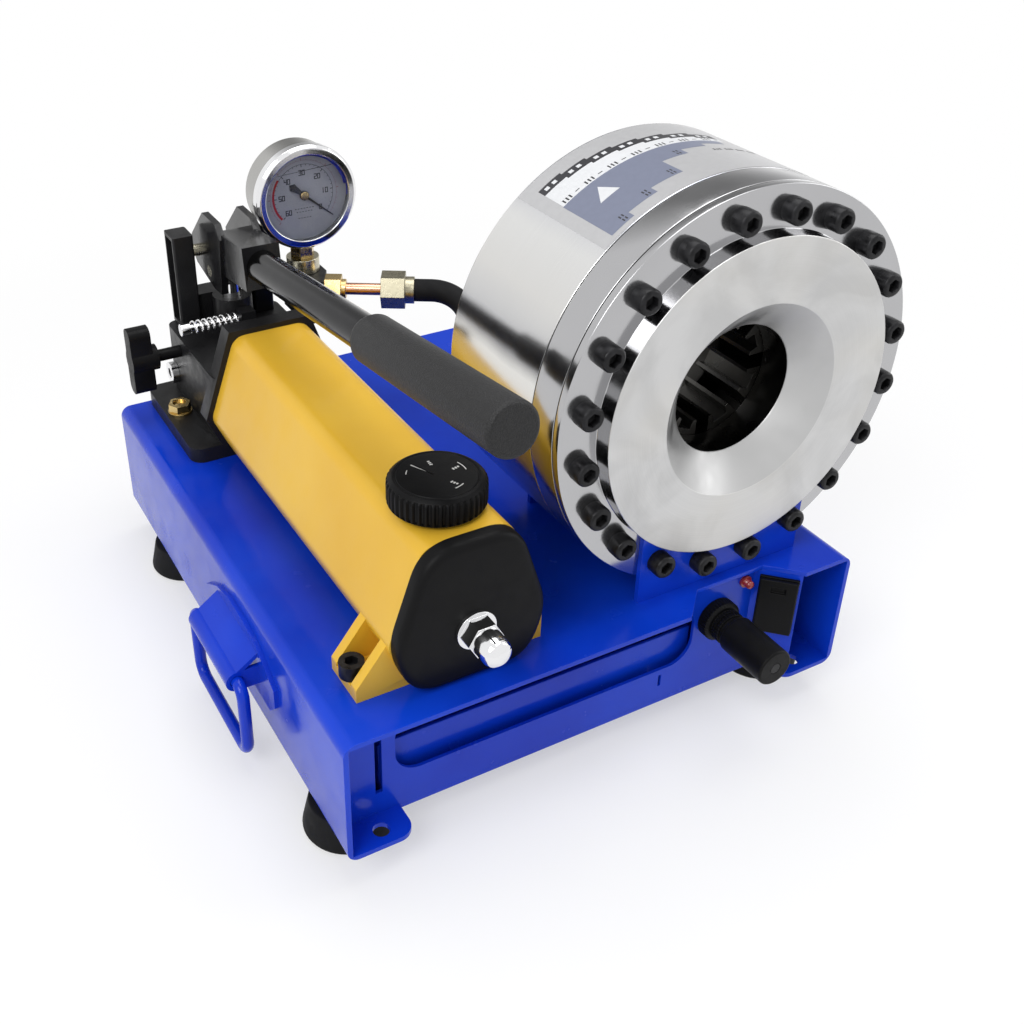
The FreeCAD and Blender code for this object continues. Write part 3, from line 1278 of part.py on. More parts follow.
def links():
    """Two channel links and the pins through their ends."""
    y = front + v.pivot_back
    low = deck + v.head_top + v.clearance
    height = deck + v.pivot_height + v.link_margin - low
    face = y - v.link_depth / 2
    outside = box("link_outside", v.link_width, v.link_depth, height, (0, face, low))
    outside = rounded("link_outside_rounded", outside, parallel_to(UP), v.link_round)
    wall = v.link_sheet
    tools = [box("link_inside", v.link_width, v.link_depth - wall * 2, height - wall * 2,
                 (-wall, face + wall, low + wall))]
    heights = (("upper", deck + v.pivot_height), ("lower", deck + v.link_foot_height))
    for name, z in heights:
        tools.append(cylinder("link_hole_" + name, v.pin_dia / 2 + v.fit, v.link_width * 2,
                              (-v.link_width / 2, y, z), RIGHT))
    link = cut("link_left", outside, tools)
    reach = v.link_inner + v.link_width
    facing = spun(Vector(), Vector(*UP), 180.0)
    opposite = shift(pump_x + reach, y * 2).multiply(facing)
    node("pump_links", copies("link_pair", link, [shift(x=pump_x - reach), opposite]))
    half = v.link_inner + v.link_sheet + v.pin_end
    pins = []
    for name, z in heights:
        parts = [cylinder("pin_" + name, v.pin_dia / 2, half * 2, (pump_x - half, y, z), RIGHT)]
        for side, x in (("left", pump_x - half), ("right", pump_x + half)):
            parts.append(cylinder("pin_head_%s_%s" % (name, side), v.pin_head_dia / 2, v.pin_head,
                                  (x - v.pin_head / 2, y, z), RIGHT))
        pins.append(fuse("pin_fused_" + name, parts))
    node("link_pins", gathered("link_pin_pair", pins))


def handle_rise():
    """Cosine and sine of the handle's rise to the front."""
    pitch = math.radians(float(v.handle_angle))
    return math.cos(pitch), math.sin(pitch)


def handle_point(distance):
    """A point on the handle's axis, at a distance in front of its socket's mouth."""
    level, rise = handle_rise()
    mouth_y = front + v.socket_front
    mouth_z = deck + v.pivot_height + v.handle_over + (v.pivot_back - v.socket_front) * (rise / level)
    return pump_x, mouth_y - distance * level, mouth_z + distance * rise


def lever():
    """Lever with two cheeks, the handle socket and the plunger pin."""
    level, rise = handle_rise()
    pivot_y = front + v.pivot_back
    pivot_z = deck + v.pivot_height
    pin_y = -v.arm
    pin_z = -v.arm_drop
    cheek_front = pin_y - v.cheek_front
    outline = [(v.cheek_boss, v.cheek_bevel - v.cheek_boss), (v.cheek_boss - v.cheek_bevel, -v.cheek_boss),
               (pin_y - v.pin_dia, pin_z - v.cheek_under), (cheek_front + v.cheek_step, pin_z - v.pin_dia),
               (cheek_front, v.cheek_rise - v.cheek_shoulder),
               (cheek_front + v.cheek_shoulder, v.cheek_rise), (pin_y + v.pin_dia / 2, v.cheek_rise),
               (v.cheek_boss, v.pin_dia)]
    parts = []
    for name, offset in (("left", -v.cheek_inner - v.cheek), ("right", v.cheek_inner)):
        parts.append(padded("cheek_" + name, v.cheek, (pump_x + offset, pivot_y, pivot_z),
                            FACING_RIGHT, [outline]))
    tilt = Rotation(Vector(*RIGHT), -float(v.handle_angle))
    half = v.socket_height / 2
    mouth = handle_point(0)
    parts.append(box("socket_box", v.socket_width, v.handle_in + v.socket_floor, v.socket_height,
                     (pump_x - v.socket_width / 2, mouth[1] - half * rise, mouth[2] - half * level),
                     tilt))
    parts.append(box("cheek_tie", v.cheek_inner * 2 + v.cheek, v.cheek_tie_depth, v.cheek_tie_height,
                     (pump_x - v.cheek_inner - v.cheek / 2, pivot_y + cheek_front + v.cheek_step,
                      pivot_z + v.pin_dia)))
    tools = [cylinder("socket_bore", v.handle_dia / 2 + v.fit, v.handle_in + v.past,
                      handle_point(v.past), (0, level, -rise))]
    for name, y, z in (("pivot", pivot_y, pivot_z), ("plunger", pivot_y + pin_y, pivot_z + pin_z)):
        tools.append(cylinder("lever_%s_hole" % name, v.pin_dia / 2 + v.fit, v.head_half * 2,
                              (pump_x - v.head_half, y, z), RIGHT))
    node("lever_socket", cut("lever_cut", fuse("lever_fused", parts), tools))
    half_pin = v.cheek_inner + v.cheek
    node("plunger_pin", cylinder("plunger_pin_round", v.pin_dia / 2, half_pin * 2,
                                 (pump_x - half_pin, pivot_y + pin_y, pivot_z + pin_z), RIGHT))


def handle():
    """Handle tube in the lever's socket, with a foam grip on its end."""
    level, rise = handle_rise()
    forward = (0, -level, rise)
    radius = v.handle_dia / 2
    tube = cylinder("handle_outer", radius, v.handle_in + v.handle_out - v.past,
                    handle_point(v.past - v.handle_in), forward)
    hollow = cylinder("handle_inner", radius - v.handle_wall, v.handle_in + v.handle_out + v.past,
                      handle_point(-v.handle_in), forward)
    node("handle_tube", cut("handle_tube_cut", tube, [hollow]))
    length = v.grip_length
    bore = radius + v.running
    outer = v.grip_dia / 2
    points = [(bore, 0), (bore + v.grip_lip, 0), (outer, v.grip_taper), (outer, length - v.grip_edge),
              (outer - v.grip_edge, length), (0, length), (0, length - v.grip_end),
              (bore, length - v.grip_end)]
    start = v.handle_out + v.grip_end - length
    turn = Rotation(Vector(*BACK), Vector(*forward))
    node("handle_grip", turned("grip_turned", handle_point(start), turn, points))


def plunger():
    """Pump plunger with a slotted head that the lever's pin moves in."""
    y = front + v.plunger_back
    pin_z = deck + v.pivot_height - v.arm_drop
    eye = v.pin_dia / 2 + v.plunger_eye
    bottom = deck + v.head_top - v.plunger_in
    stem = cylinder("plunger_stem", v.plunger_dia / 2, pin_z - eye + v.past - bottom,
                    (pump_x, y, bottom))
    width = v.cheek_inner - v.clearance * 2
    head = box("plunger_head", width * 2, eye * 2, eye * 2, (pump_x - width, y - eye, pin_z - eye))
    slot_half = v.pin_dia / 2 + v.clearance
    slot_run = slot_half * 2 + v.plunger_slot_play
    slot = box("plunger_slot", (width + v.past) * 2, slot_run, slot_half * 2,
               (pump_x - width - v.past, y - slot_run / 2, pin_z - slot_half))
    node("plunger", cut("plunger_cut", fuse("plunger_fused", [stem, head]), [slot]))


def spring_rod():
    """Thin rod with a coil spring, in a lug on top of the pump head."""
    y = front + v.lock_back
    z = deck + v.lock_height
    start = pump_x - v.lock_left
    shank = cylinder("lock_shank", v.lock_dia / 2, v.lock_left + v.lock_dia, (start, y, z), RIGHT)
    knob = cylinder("lock_knob", v.lock_knob_dia / 2, v.lock_knob_length, (start, y, z), RIGHT)
    node("lock_rod", fuse("lock_fused", [shank, knob]))
    wire = float(v.spring_wire) / 2
    coil = float(v.spring_dia) / 2 - wire
    room = v.lock_left - v.lock_knob_length - v.lock_dia / 2 - v.clearance * 3 - v.spring_wire
    helix = Part.makeHelix(float(v.spring_pitch), float(room), coil)
    corners = []
    for number in range(WIRE_SIDES + 1):
        angle = 2 * math.pi * number / WIRE_SIDES
        corners.append(Vector(coil + wire * math.cos(angle), 0, wire * math.sin(angle)))
    section = Part.makePolygon(corners)
    obj = doc.addObject("Part::Feature", "lock_spring_coil")
    obj.Shape = Part.Wire(helix.Edges).makePipeShell([section], True, True)
    spot = (start + v.lock_knob_length + v.clearance + v.spring_wire / 2, y, z)
    obj.Placement = FreeCAD.Placement(point(spot), along(RIGHT))
    node("lock_spring", obj)


def release_valve():
    """Winged release knob on its valve shaft, and the plug below it."""
    y = front + v.valve_back
    z = deck + v.valve_height
    face = pump_x - v.head_half
    grip = face - v.valve_shaft_length
    width = v.valve_wing_width
    length = v.valve_wing_length
    shaft = cylinder("valve_shaft", v.valve_shaft_dia / 2, v.valve_shaft_length + v.valve_shaft_in,
                     (face + v.valve_shaft_in, y, z), LEFT)
    hub = cylinder("valve_hub", v.valve_grip_dia / 2, v.valve_wing_thick + v.valve_hub_length,
                   (grip + v.valve_hub_length, y, z), LEFT)
    wing = box("valve_wing", v.valve_wing_thick, width, length,
               (grip - v.valve_wing_thick, y - width / 2, z - length / 2))
    wing = rounded("valve_wing_rounded", wing, parallel_to(RIGHT), v.valve_wing_round)
    node("release_knob", fuse("valve_fused", [shaft, hub, wing]))
    spot = (face, front + v.plug_back, deck + v.plug_height)
    head = cylinder("plug_head_disc", v.plug_dia / 2, v.plug_head, spot, LEFT)
    shank = cylinder("plug_shank", v.plug_shank_dia / 2, v.plug_shank_length, spot, RIGHT)
    socket = hexagon("plug_socket", v.bolt_socket, v.plug_head,
                     (face - v.plug_head - v.past, spot[1], spot[2]), RIGHT)
    node("head_plug", cut("plug_cut", fuse("plug_fused", [head, shank]), [socket]))


def stop_screw():
    """Micrometer type stop screw: ring nut, barrel, spindle and thimble."""
    z = deck - v.screw_height
    panel_y = front + v.panel_setback
    nut = v.screw_nut_dia / 2
    barrel = v.barrel_dia / 2
    hole = barrel + v.fit
    nut_face = -v.screw_nut_length
    edge = v.screw_nut_edge
    ring = [(hole, nut_face), (nut - edge, nut_face), (nut, nut_face + edge), (nut, 0), (hole, 0)]
    node("screw_nut", turned("screw_nut_turned", (head_x, panel_y, z), PLAIN, ring))
    bore = v.spindle_dia / 2
    collar = v.barrel_collar_dia / 2
    collar_face = nut_face - v.barrel_collar_length
    tip = -v.panel_setback - v.barrel_front
    points = [(bore, tip), (barrel, tip), (barrel, collar_face), (collar, collar_face),
              (collar, nut_face), (barrel, nut_face), (barrel, v.barrel_back), (bore, v.barrel_back)]
    node("screw_barrel", turned("barrel_turned", (head_x, panel_y, z), PLAIN, points))
    thimble = v.thimble_dia / 2
    inner = barrel + v.clearance
    bevel = v.thimble_edge
    cup = [(bore, 0), (thimble - bevel, 0), (thimble, bevel), (thimble, v.thimble_length),
           (inner, v.thimble_length), (inner, v.thimble_cap), (bore, v.thimble_cap)]
    end_y = front - v.thimble_end
    node("screw_thimble", turned("thimble_turned", (head_x, end_y, z), PLAIN, cup))
    node("screw_spindle", cylinder("spindle_round", bore - v.running, v.spindle_length,
                                   (head_x, end_y, z), BACK))


def indicator_lamp():
    """Small red lamp in the panel beside the stop screw."""
    z = deck - v.lamp_drop
    dome = v.lamp_dia / 2
    flange = v.lamp_flange_dia / 2
    shoulder = -v.lamp_flange - v.lamp_length + dome * DOME[-1][1]
    points = [(dome * across, shoulder - dome * up) for across, up in reversed(DOME)]
    points += [(dome, -v.lamp_flange), (flange, -v.lamp_flange), (flange, 0), (dome, 0),
               (dome, v.lamp_back), (0, v.lamp_back)]
    node("indicator_lamp", turned("lamp_turned", (head_x + v.lamp_side, front + v.panel_setback, z),
                                  PLAIN, points))


def battery_box():
    """Battery box in the slanted end of the panel, with its pull-out drawer."""
    width = v.battery_width
    tall = v.battery_height
    wall = v.battery_wall
    rim_box = box("battery_rim_box", width, v.battery_rim, tall, (0, 0, 0))
    place_on_slant(rim_box, -width / 2, -v.battery_rim, -tall / 2)
    inner = width - wall * 2 - v.fit * 2
    inner_tall = tall - wall * 2 - v.fit * 2
    body = box("battery_body_box", inner, v.battery_depth, inner_tall, (0, 0, 0))
    place_on_slant(body, -inner / 2, 0, -inner_tall / 2)
    hollow_width = inner - wall * 2
    hollow_tall = inner_tall - wall * 2
    hollow = box("battery_hollow", hollow_width, v.battery_depth + v.battery_rim + v.past - wall,
                 hollow_tall, (0, 0, 0))
    place_on_slant(hollow, -hollow_width / 2, -v.battery_rim - v.past, -hollow_tall / 2)
    node("battery_box", cut("battery_box_cut", fuse("battery_box_fused", [rim_box, body]), [hollow]))
    lid_width = width - v.battery_lid_margin * 2
    lid_tall = tall - v.battery_lid_margin * 2
    lid_back = -v.battery_rim - v.clearance
    lid_face = lid_back - v.battery_lid
    lid = box("battery_lid", lid_width, v.battery_lid, lid_tall, (0, 0, 0))
    place_on_slant(lid, -lid_width / 2, lid_face, -lid_tall / 2)
    tray_width = hollow_width - v.clearance * 2
    tray_tall = hollow_tall - v.clearance * 2
    tray = box("battery_tray", tray_width, v.battery_depth - wall - v.past, tray_tall, (0, 0, 0))
    place_on_slant(tray, -tray_width / 2, lid_back, -tray_tall / 2)
    notch = box("battery_finger_notch", v.battery_notch, v.battery_notch_depth + v.past,
                v.battery_notch_height, (0, 0, 0))
    place_on_slant(notch, -v.battery_notch / 2, lid_face - v.past, tall / 2 - v.battery_notch_drop)
    node("battery_drawer", cut("battery_drawer_cut", fuse("battery_drawer_fused", [lid, tray]), [notch]))


def handle_bracket(x, y, z):
    """Pressed bracket on the left wall: plate, hood, rolled sleeve and its end webs."""
    sheet_wall = v.bracket_sheet
    half = v.bracket_length / 2
    wing = half + v.bracket_wing
    crown = v.bracket_crown / 2
    top = -v.bracket_top
    low = top - v.bracket_height
    shoulder = top - v.bracket_shoulder
    tip = top - v.bracket_wing_fall
    corner = v.bracket_corner
    outline = [(-wing, tip), (-half, shoulder), (-crown, top), (crown, top), (half, shoulder),
               (wing, tip), (wing, low + corner), (wing - corner, low), (corner - wing, low),
               (-wing, low + corner)]
    plate = padded("bracket_plate", sheet_wall, (left - sheet_wall, y, deck), FACING_RIGHT, [outline])
    sleeve = v.bail_dia / 2 + v.clearance + v.sleeve_wall
    high = v.bail_low - v.bracket_top - v.hood_drop
    thick = v.hood_thick
    hood = [(0, high), (0, high - thick), (-v.bail_out, sleeve - thick), (-v.bail_out, sleeve)]
    length = v.bracket_length
    parts = [plate, padded("bracket_hood", length, (left, y + half, z), FACING_FRONT, [hood]),
             cylinder("bracket_sleeve", sleeve, length, (x, y - half, z), BACK)]
    for name, offset in (("front", -half), ("rear", half - sheet_wall)):
        parts.append(box("bracket_web_" + name, v.bail_out, sheet_wall, sleeve * 2,
                         (x, y + offset, z - sleeve)))
    bore = cylinder("bracket_bore", v.bail_dia / 2 + v.clearance, length + v.past * 2,
                    (x, y - half - v.past, z), BACK)
    return cut("bracket_left", fuse("bracket_fused", parts), [bore])


def carrying_handles():
    """A hanging bail in a pressed bracket on each side wall."""
    x = left - v.bail_out
    y = front + v.bail_front + v.bail_span / 2
    z = deck - v.bail_low
    bracket = handle_bracket(x, y, z)
    node("handle_brackets", gathered("bracket_pair", [bracket, mirrored("bracket_right", bracket)]))
    half = v.bail_span / 2
    low = z - v.bail_drop
    for name, px in (("left", x), ("right", -x)):
        corners = [(px, y + v.clearance, z), (px, y + half, z), (px, y + half, low),
                   (px, y - half, low), (px, y - half, z), (px, y - v.clearance, z)]
        bends = [v.bail_dia, v.bail_round, v.bail_round, v.bail_dia]
        path = rod_path([point(corner) for corner in corners], bends)
        node("bail_" + name, rod("bail_%s_rod" % name, path, v.bail_dia / 2))


def check_and_write():
    """Refuse a failed object or shape, then write one file for each piece."""
    doc.recompute()
    for obj in doc.Objects:
        if "Invalid" in obj.State or "Error" in obj.State:
            raise RuntimeError("%s failed: %s" % (obj.Name, obj.State))
    os.makedirs("parts", exist_ok=True)
    for obj in nodes:
        shape = obj.Shape
        if shape.isNull() or not shape.isValid() or not shape.Solids:
            raise RuntimeError("%s has no valid solid" % obj.Label)
        shape.exportStep("parts/%s.step" % obj.Label)
    print("%d pieces written" % len(nodes))


base_shell()
front_panel()
rear_panel()
die_tray()
rubber_feet()
mounting_plates()
front_cap()
drum_shell()
ring_piston()
dies()
head_bolts()
port_fitting()
outlet_block()
pressure_line()
hydraulic_hose()
gauge()
reservoir()
end_cap()
filler_cap()
pump_head()
flange_bolts()
links()
lever()
handle()
plunger()
spring_rod()
release_valve()
stop_screw()
indicator_lamp()
battery_box()
carrying_handles()
check_and_write()
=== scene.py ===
import math

import bmesh
import bpy
import numpy as np
from mathutils import Matrix, Vector


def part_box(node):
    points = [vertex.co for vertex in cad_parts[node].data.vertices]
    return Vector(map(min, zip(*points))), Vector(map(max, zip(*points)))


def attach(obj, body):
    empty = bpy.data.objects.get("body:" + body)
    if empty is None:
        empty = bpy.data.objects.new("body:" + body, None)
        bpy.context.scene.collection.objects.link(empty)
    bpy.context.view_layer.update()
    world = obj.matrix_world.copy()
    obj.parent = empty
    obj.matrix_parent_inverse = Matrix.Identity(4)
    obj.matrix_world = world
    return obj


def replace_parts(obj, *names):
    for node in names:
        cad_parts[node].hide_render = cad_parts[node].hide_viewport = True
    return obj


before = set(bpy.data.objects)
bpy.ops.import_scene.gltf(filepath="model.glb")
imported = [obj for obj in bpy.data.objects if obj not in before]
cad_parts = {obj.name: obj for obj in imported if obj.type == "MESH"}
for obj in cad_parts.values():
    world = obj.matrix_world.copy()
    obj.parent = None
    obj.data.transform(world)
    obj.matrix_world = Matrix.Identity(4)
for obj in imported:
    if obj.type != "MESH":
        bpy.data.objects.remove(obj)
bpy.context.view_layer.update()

MM = 0.001
RIGHT = np.array((1.0, 0.0, 0.0))
BACK = np.array((0.0, 1.0, 0.0))
UP = np.array((0.0, 0.0, 1.0))
FULL = 2 * math.pi
DOUBLED = 2e-6      # corners nearer than this, in metres, are one


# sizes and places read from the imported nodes

def middle(node):
    """Middle of a CAD node's box."""
    low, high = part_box(node)
    return np.array((low + high) / 2)


def low_of(node, axis):
    """Lowest place of a CAD node on an axis: 0 to the right, 1 to the back, 2 up."""
    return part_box(node)[0][axis]


def high_of(node, axis):
    """Highest place of a CAD node on an axis."""
    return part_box(node)[1][axis]


deck = low_of("reservoir", 2)
head = middle("front_cap")
drum_radius = (high_of("drum_shell", 0) - low_of("drum_shell", 0)) / 2
disc_face = low_of("front_cap", 1)
joint_face = high_of("front_cap", 1)
drum_back = high_of("drum_shell", 1)

# the head's turned faces: radii, and distances behind the disc face
disc_reach = 89 * MM
disc_rise = 10.2 * MM
mouth_reach = 54.3 * MM
mouth_depth = 16.1 * MM
throat_reach = 36.3 * MM
groove_reach = drum_radius - 1.4 * MM
groove_width = 0.5 * MM


# surfaces

def axes_for(axis):
    """Two directions square to an axis, and the axis, as rows."""
    w = np.array(axis, float) / np.linalg.norm(axis)
    helper = UP if abs(w[2]) < 0.9 else RIGHT
    u = np.cross(helper, w)
    u /= np.linalg.norm(u)
    return np.array((u, np.cross(w, u), w))


def smooth(mesh, sharp=38.0):
    """Shades a mesh smooth apart from edges that turn by more than sharp degrees."""
    mesh.shade_smooth()
    mesh.set_sharp_from_angle(angle=math.radians(sharp))


def grid_mesh(name, points, wrap=True, outward=True):
    """A mesh from a grid of points: rows along the shape, columns round it, four-sided faces.

    Its map "surface" goes once round the shape in u, and in metres along it in v.
    """
    rows, columns = points.shape[:2]
    turns = columns if wrap else columns - 1
    i, j = np.meshgrid(np.arange(rows - 1), np.arange(turns), indexing="ij")
    following = (j + 1) % columns
    corners = np.stack((i * columns + j, i * columns + following, (i + 1) * columns + following,
                        (i + 1) * columns + j), axis=-1).reshape(-1, 4)
    steps = np.linalg.norm(np.diff(points, axis=0), axis=2).max(axis=1)
    run = np.concatenate(((0.0,), np.cumsum(steps)))
    u = np.stack((j, j + 1, j + 1, j), axis=-1) / turns
    v = np.stack((run[i], run[i], run[i + 1], run[i + 1]), axis=-1)
    mesh = bpy.data.meshes.new(name)
    mesh.from_pydata(points.reshape(-1, 3), [], corners.tolist())
    layer = mesh.uv_layers.new(name="surface")
    layer.data.foreach_set("uv", np.stack((u, v), axis=-1).reshape(-1))
    work = bmesh.new()
    work.from_mesh(mesh)
    bmesh.ops.remove_doubles(work, verts=work.verts, dist=DOUBLED)
    bmesh.ops.dissolve_degenerate(work, dist=1e-7, edges=work.edges)
    if outward:
        bmesh.ops.recalc_face_normals(work, faces=work.faces)
    work.to_mesh(mesh)
    work.free()
    smooth(mesh)
    return mesh


def piece(name, body, mesh, finish):
    """A mesh as a piece that rides on a body."""
    obj = bpy.data.objects.new(name, mesh)
    bpy.context.scene.collection.objects.link(obj)
    mesh.materials.clear()
    mesh.materials.append(finish)
    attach(obj, body)
    return obj


def joined_piece(name, body, grids, finish, wrap=True, outward=True):
    """Several grids of points as one piece, each keeping its own points."""
    work = bmesh.new()
    for grid in grids:
        part = grid_mesh(name, grid, wrap, outward)
        work.from_mesh(part)
        bpy.data.meshes.remove(part)
    mesh = bpy.data.meshes.new(name)
    work.to_mesh(mesh)
    work.free()
    smooth(mesh)
    return piece(name, body, mesh, finish)


def sheets(name, body, grids, finish, thick=0.04 * MM):
    """Thin printed sheets: each is a grid of points, given a little thickness to both sides."""
    obj = joined_piece(name, body, grids, finish, wrap=False, outward=False)
    solid = obj.modifiers.new("thickness", "SOLIDIFY")
    solid.thickness = thick
    solid.offset = 0.0
    solid.use_rim = thick > 0.1 * MM


def eased(profile, radius, steps=3, closed=False):
    """A profile with each corner replaced by a short curve that leaves and meets its two sides."""
    points = np.array(profile, float)
    count = len(points)
    result = []
    for index in range(count):
        here = points[index]
        if not closed and index in (0, count - 1):
            result.append(here)
            continue
        before = points[index - 1] - here
        after = points[(index + 1) % count] - here
        lengths = np.linalg.norm(before), np.linalg.norm(after)
        reach = min(radius, 0.45 * lengths[0], 0.45 * lengths[1])
        start = here + before / lengths[0] * reach
        end = here + after / lengths[1] * reach
        for part in np.linspace(0, 1, steps + 1):
            result.append((1 - part) ** 2 * start + 2 * part * (1 - part) * here + part ** 2 * end)
    if closed:
        result.append(result[0])
    return np.array(result)


def turned(name, body, centre, axis, profile, finish, segments, ease, closed=False, flute=None):
    """A turned surface: each profile point (distance along the axis, radius) goes round the axis.

    flute, where given, is a factor on the radius that depends on the angle and the distance.
    """
    rows = eased(profile, ease, closed=closed)
    angle = np.arange(segments) / segments * FULL
    u, v, w = axes_for(axis)
    ring = np.cos(angle)[:, None] * u + np.sin(angle)[:, None] * v
    radius = rows[:, 1][:, None] * np.ones(segments)
    if flute is not None:
        radius = radius * flute(angle[None, :], rows[:, :1])
    points = np.array(centre) + rows[:, 0][:, None, None] * w + radius[:, :, None] * ring
    return piece(name, body, grid_mesh(name, points), finish)


def ribbed(count, low, high, depth):
    """A factor on the radius: count ribs round the axis, between two distances along it.

    A rib is a steep smooth step of the cosine of the angle, and depth its share of the radius.
    """
    def factor(angle, along):
        wave = 1 / (1 + np.exp(np.cos(angle * count) * -9))
        return np.where((along > low) & (along < high), 1 - depth * (1 - wave), 1.0)
    return factor


def hexagon(angle, along=None):
    """A factor on the radius of a hexagon's inner circle that gives its flats, all along it."""
    return 1 / np.cos((angle + math.pi / 6) % (math.pi / 3) - math.pi / 6)


def softened(node, body, finish, edge=0.5, sharp=28.0):
    """The CAD node's own shape with its faces merged and its sharp edges rounded by edge mm."""
    name = node + "_soft"
    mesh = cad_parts[node].data.copy()
    mesh.name = name
    work = bmesh.new()
    work.from_mesh(mesh)
    bmesh.ops.remove_doubles(work, verts=work.verts, dist=DOUBLED)
    bmesh.ops.dissolve_limit(work, angle_limit=math.radians(0.6), verts=work.verts,
                             edges=work.edges)
    work.to_mesh(mesh)
    work.free()
    smooth(mesh, sharp)
    obj = piece(name, body, mesh, finish)
    if edge:
        bevel = obj.modifiers.new("edges", "BEVEL")
        bevel.limit_method = "ANGLE"
        bevel.angle_limit = math.radians(sharp)
        bevel.width = edge * MM
        bevel.segments = 2
        bevel.use_clamp_overlap = True
        bevel.harden_normals = True
    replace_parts(obj, node)


# finishes

def calculated(tree, operation, *values):
    """The result of a Math node whose inputs are numbers or what other nodes give."""
    made = tree.nodes.new("ShaderNodeMath")
    made.operation = operation
    for socket, value in zip(made.inputs, values):
        if isinstance(value, float):
            socket.default_value = value
        else:
            tree.links.new(value, socket)
    return made.outputs["Value"]


def rescaled(tree, value, start, end, first, last):
    """A value from start to end, brought to first to last and held there beyond them."""
    made = tree.nodes.new("ShaderNodeMapRange")
    limits = (("From Min", start), ("From Max", end), ("To Min", first), ("To Max", last))
    for socket, number in limits:
        made.inputs[socket].default_value = number
    tree.links.new(value, made.inputs["Value"])
    return made.outputs["Result"]


class Finish:
    """A node material built round one Principled shader."""

    def __init__(self, name, colour, roughness, metallic=0.0, **sockets):
        self.material = bpy.data.materials.new(name)
        self.material.use_nodes = True
        self.tree = self.material.node_tree
        self.links = self.tree.links
        self.shader = self.tree.nodes["Principled BSDF"]
        self.shader.inputs["Base Color"].default_value = (*colour, 1.0)
        self.shader.inputs["Roughness"].default_value = roughness
        self.shader.inputs["Metallic"].default_value = metallic
        for socket, value in sockets.items():
            self.shader.inputs[socket.replace("_", " ")].default_value = value
        self.material.diffuse_color = (*colour, 1.0)
        self.place = self.tree.nodes.new("ShaderNodeTexCoord").outputs["Object"]
        self.height = None

    def node(self, kind, **values):
        """A node with its inputs or settings given by name."""
        made = self.tree.nodes.new("ShaderNode" + kind)
        for key, value in values.items():
            if key in made.inputs:
                made.inputs[key].default_value = value
            else:
                setattr(made, key, value)
        return made

    def noise(self, scale, detail=3.0, vector=None, **values):
        """Noise on the piece's Object coordinates, or on the ones given."""
        made = self.node("TexNoise", Scale=scale, Detail=detail, **values)
        self.links.new(vector or self.place, made.inputs["Vector"])
        return made.outputs["Fac"]

    def own_map(self, scale=None):
        """The piece's own map, drawn out in the direction in which the scale is small."""
        made = self.node("UVMap", uv_map="surface").outputs["UV"]
        if scale:
            mapping = self.node("Mapping", Scale=scale)
            self.links.new(made, mapping.inputs["Vector"])
            made = mapping.outputs["Vector"]
        return made

    def ramp(self, source, stops):
        """Colours or greys at places from 0 to 1."""
        made = self.tree.nodes.new("ShaderNodeValToRGB")
        elements = made.color_ramp.elements
        while len(elements) < len(stops):
            elements.new(0.5)
        for element, (position, colour) in zip(elements, stops):
            element.position = position
            grey = isinstance(colour, (int, float))
            element.color = (colour, colour, colour, 1.0) if grey else (*colour, 1.0)
        self.links.new(source, made.inputs["Fac"])
        return made.outputs["Color"]

    def mixed(self, factor, first, second):
        """Two colours mixed, where each of the three may be a value or what a node gives."""
        made = self.tree.nodes.new("ShaderNodeMix")
        made.data_type = "RGBA"
        sockets = {item.identifier: item for item in made.inputs}
        for key, value in (("Factor_Float", factor), ("A_Color", first), ("B_Color", second)):
            if isinstance(value, float):
                sockets[key].default_value = value
            elif isinstance(value, tuple):
                sockets[key].default_value = (*value, 1.0)
            else:
                self.links.new(value, sockets[key])
        return [item for item in made.outputs if item.identifier == "Result_Color"][0]

    def to(self, socket, source):
        """Leads what a node gives to one of the shader's sockets."""
        self.links.new(source, self.shader.inputs[socket])

    def mottled(self, scale, share, colour, detail=3.0):
        """A colour that wanders between a darker share of itself and itself."""
        darker = tuple(share * part for part in colour)
        self.to("Base Color", self.mixed(self.noise(scale, detail), darker, colour))

    def uneven(self, scale, least, most, detail=3.0):
        """A roughness that wanders between two values."""
        self.to("Roughness", self.ramp(self.noise(scale, detail), ((0.3, least), (0.7, most))))

    def drawn_round(self):
        """Draws the highlights out along the marks of turning, round the piece."""
        tangent = self.node("Tangent", direction_type="UV_MAP", uv_map="surface")
        self.to("Tangent", tangent.outputs["Tangent"])

    def bump(self, source, depth, strength=1.0):
        """Adds relief of a given depth in metres, on top of the relief added before."""
        made = self.node("Bump", Distance=depth, Strength=strength)
        self.links.new(source, made.inputs["Height"])
        if self.height is not None:
            self.links.new(self.height, made.inputs["Normal"])
        self.height = made.outputs["Normal"]
        self.links.new(self.height, self.shader.inputs["Normal"])
        return self


def enamel(name, colour, deep, roughness, coat, specular):
    """Sprayed and baked enamel: fine orange peel, deeper colour in places and a clear gloss."""
    paint = Finish(name, colour, roughness, Coat_Weight=coat, Coat_Roughness=0.08,
                   Specular_IOR_Level=specular)
    paint.to("Base Color", paint.ramp(paint.noise(9.0, 4.0), ((0.35, deep), (0.65, colour))))
    paint.uneven(60.0, roughness - 0.06, roughness + 0.1)
    paint.bump(paint.noise(420.0, 2.0), 0.12 * MM, 0.45)
    return paint.bump(paint.noise(38.0, 2.0), 0.6 * MM, 0.28).material


def cast_enamel(name, colour, roughness=0.4):
    """Paint over a sand casting: a fine pebbled relief that dulls the gloss."""
    paint = Finish(name, colour, roughness, Coat_Weight=0.08, Coat_Roughness=0.2,
                   Specular_IOR_Level=0.22)
    paint.uneven(90.0, roughness - 0.1, roughness + 0.12)
    paint.mottled(30.0, 0.8, colour)
    return paint.bump(paint.noise(1300.0, 4.0), 0.25 * MM, 0.5).material


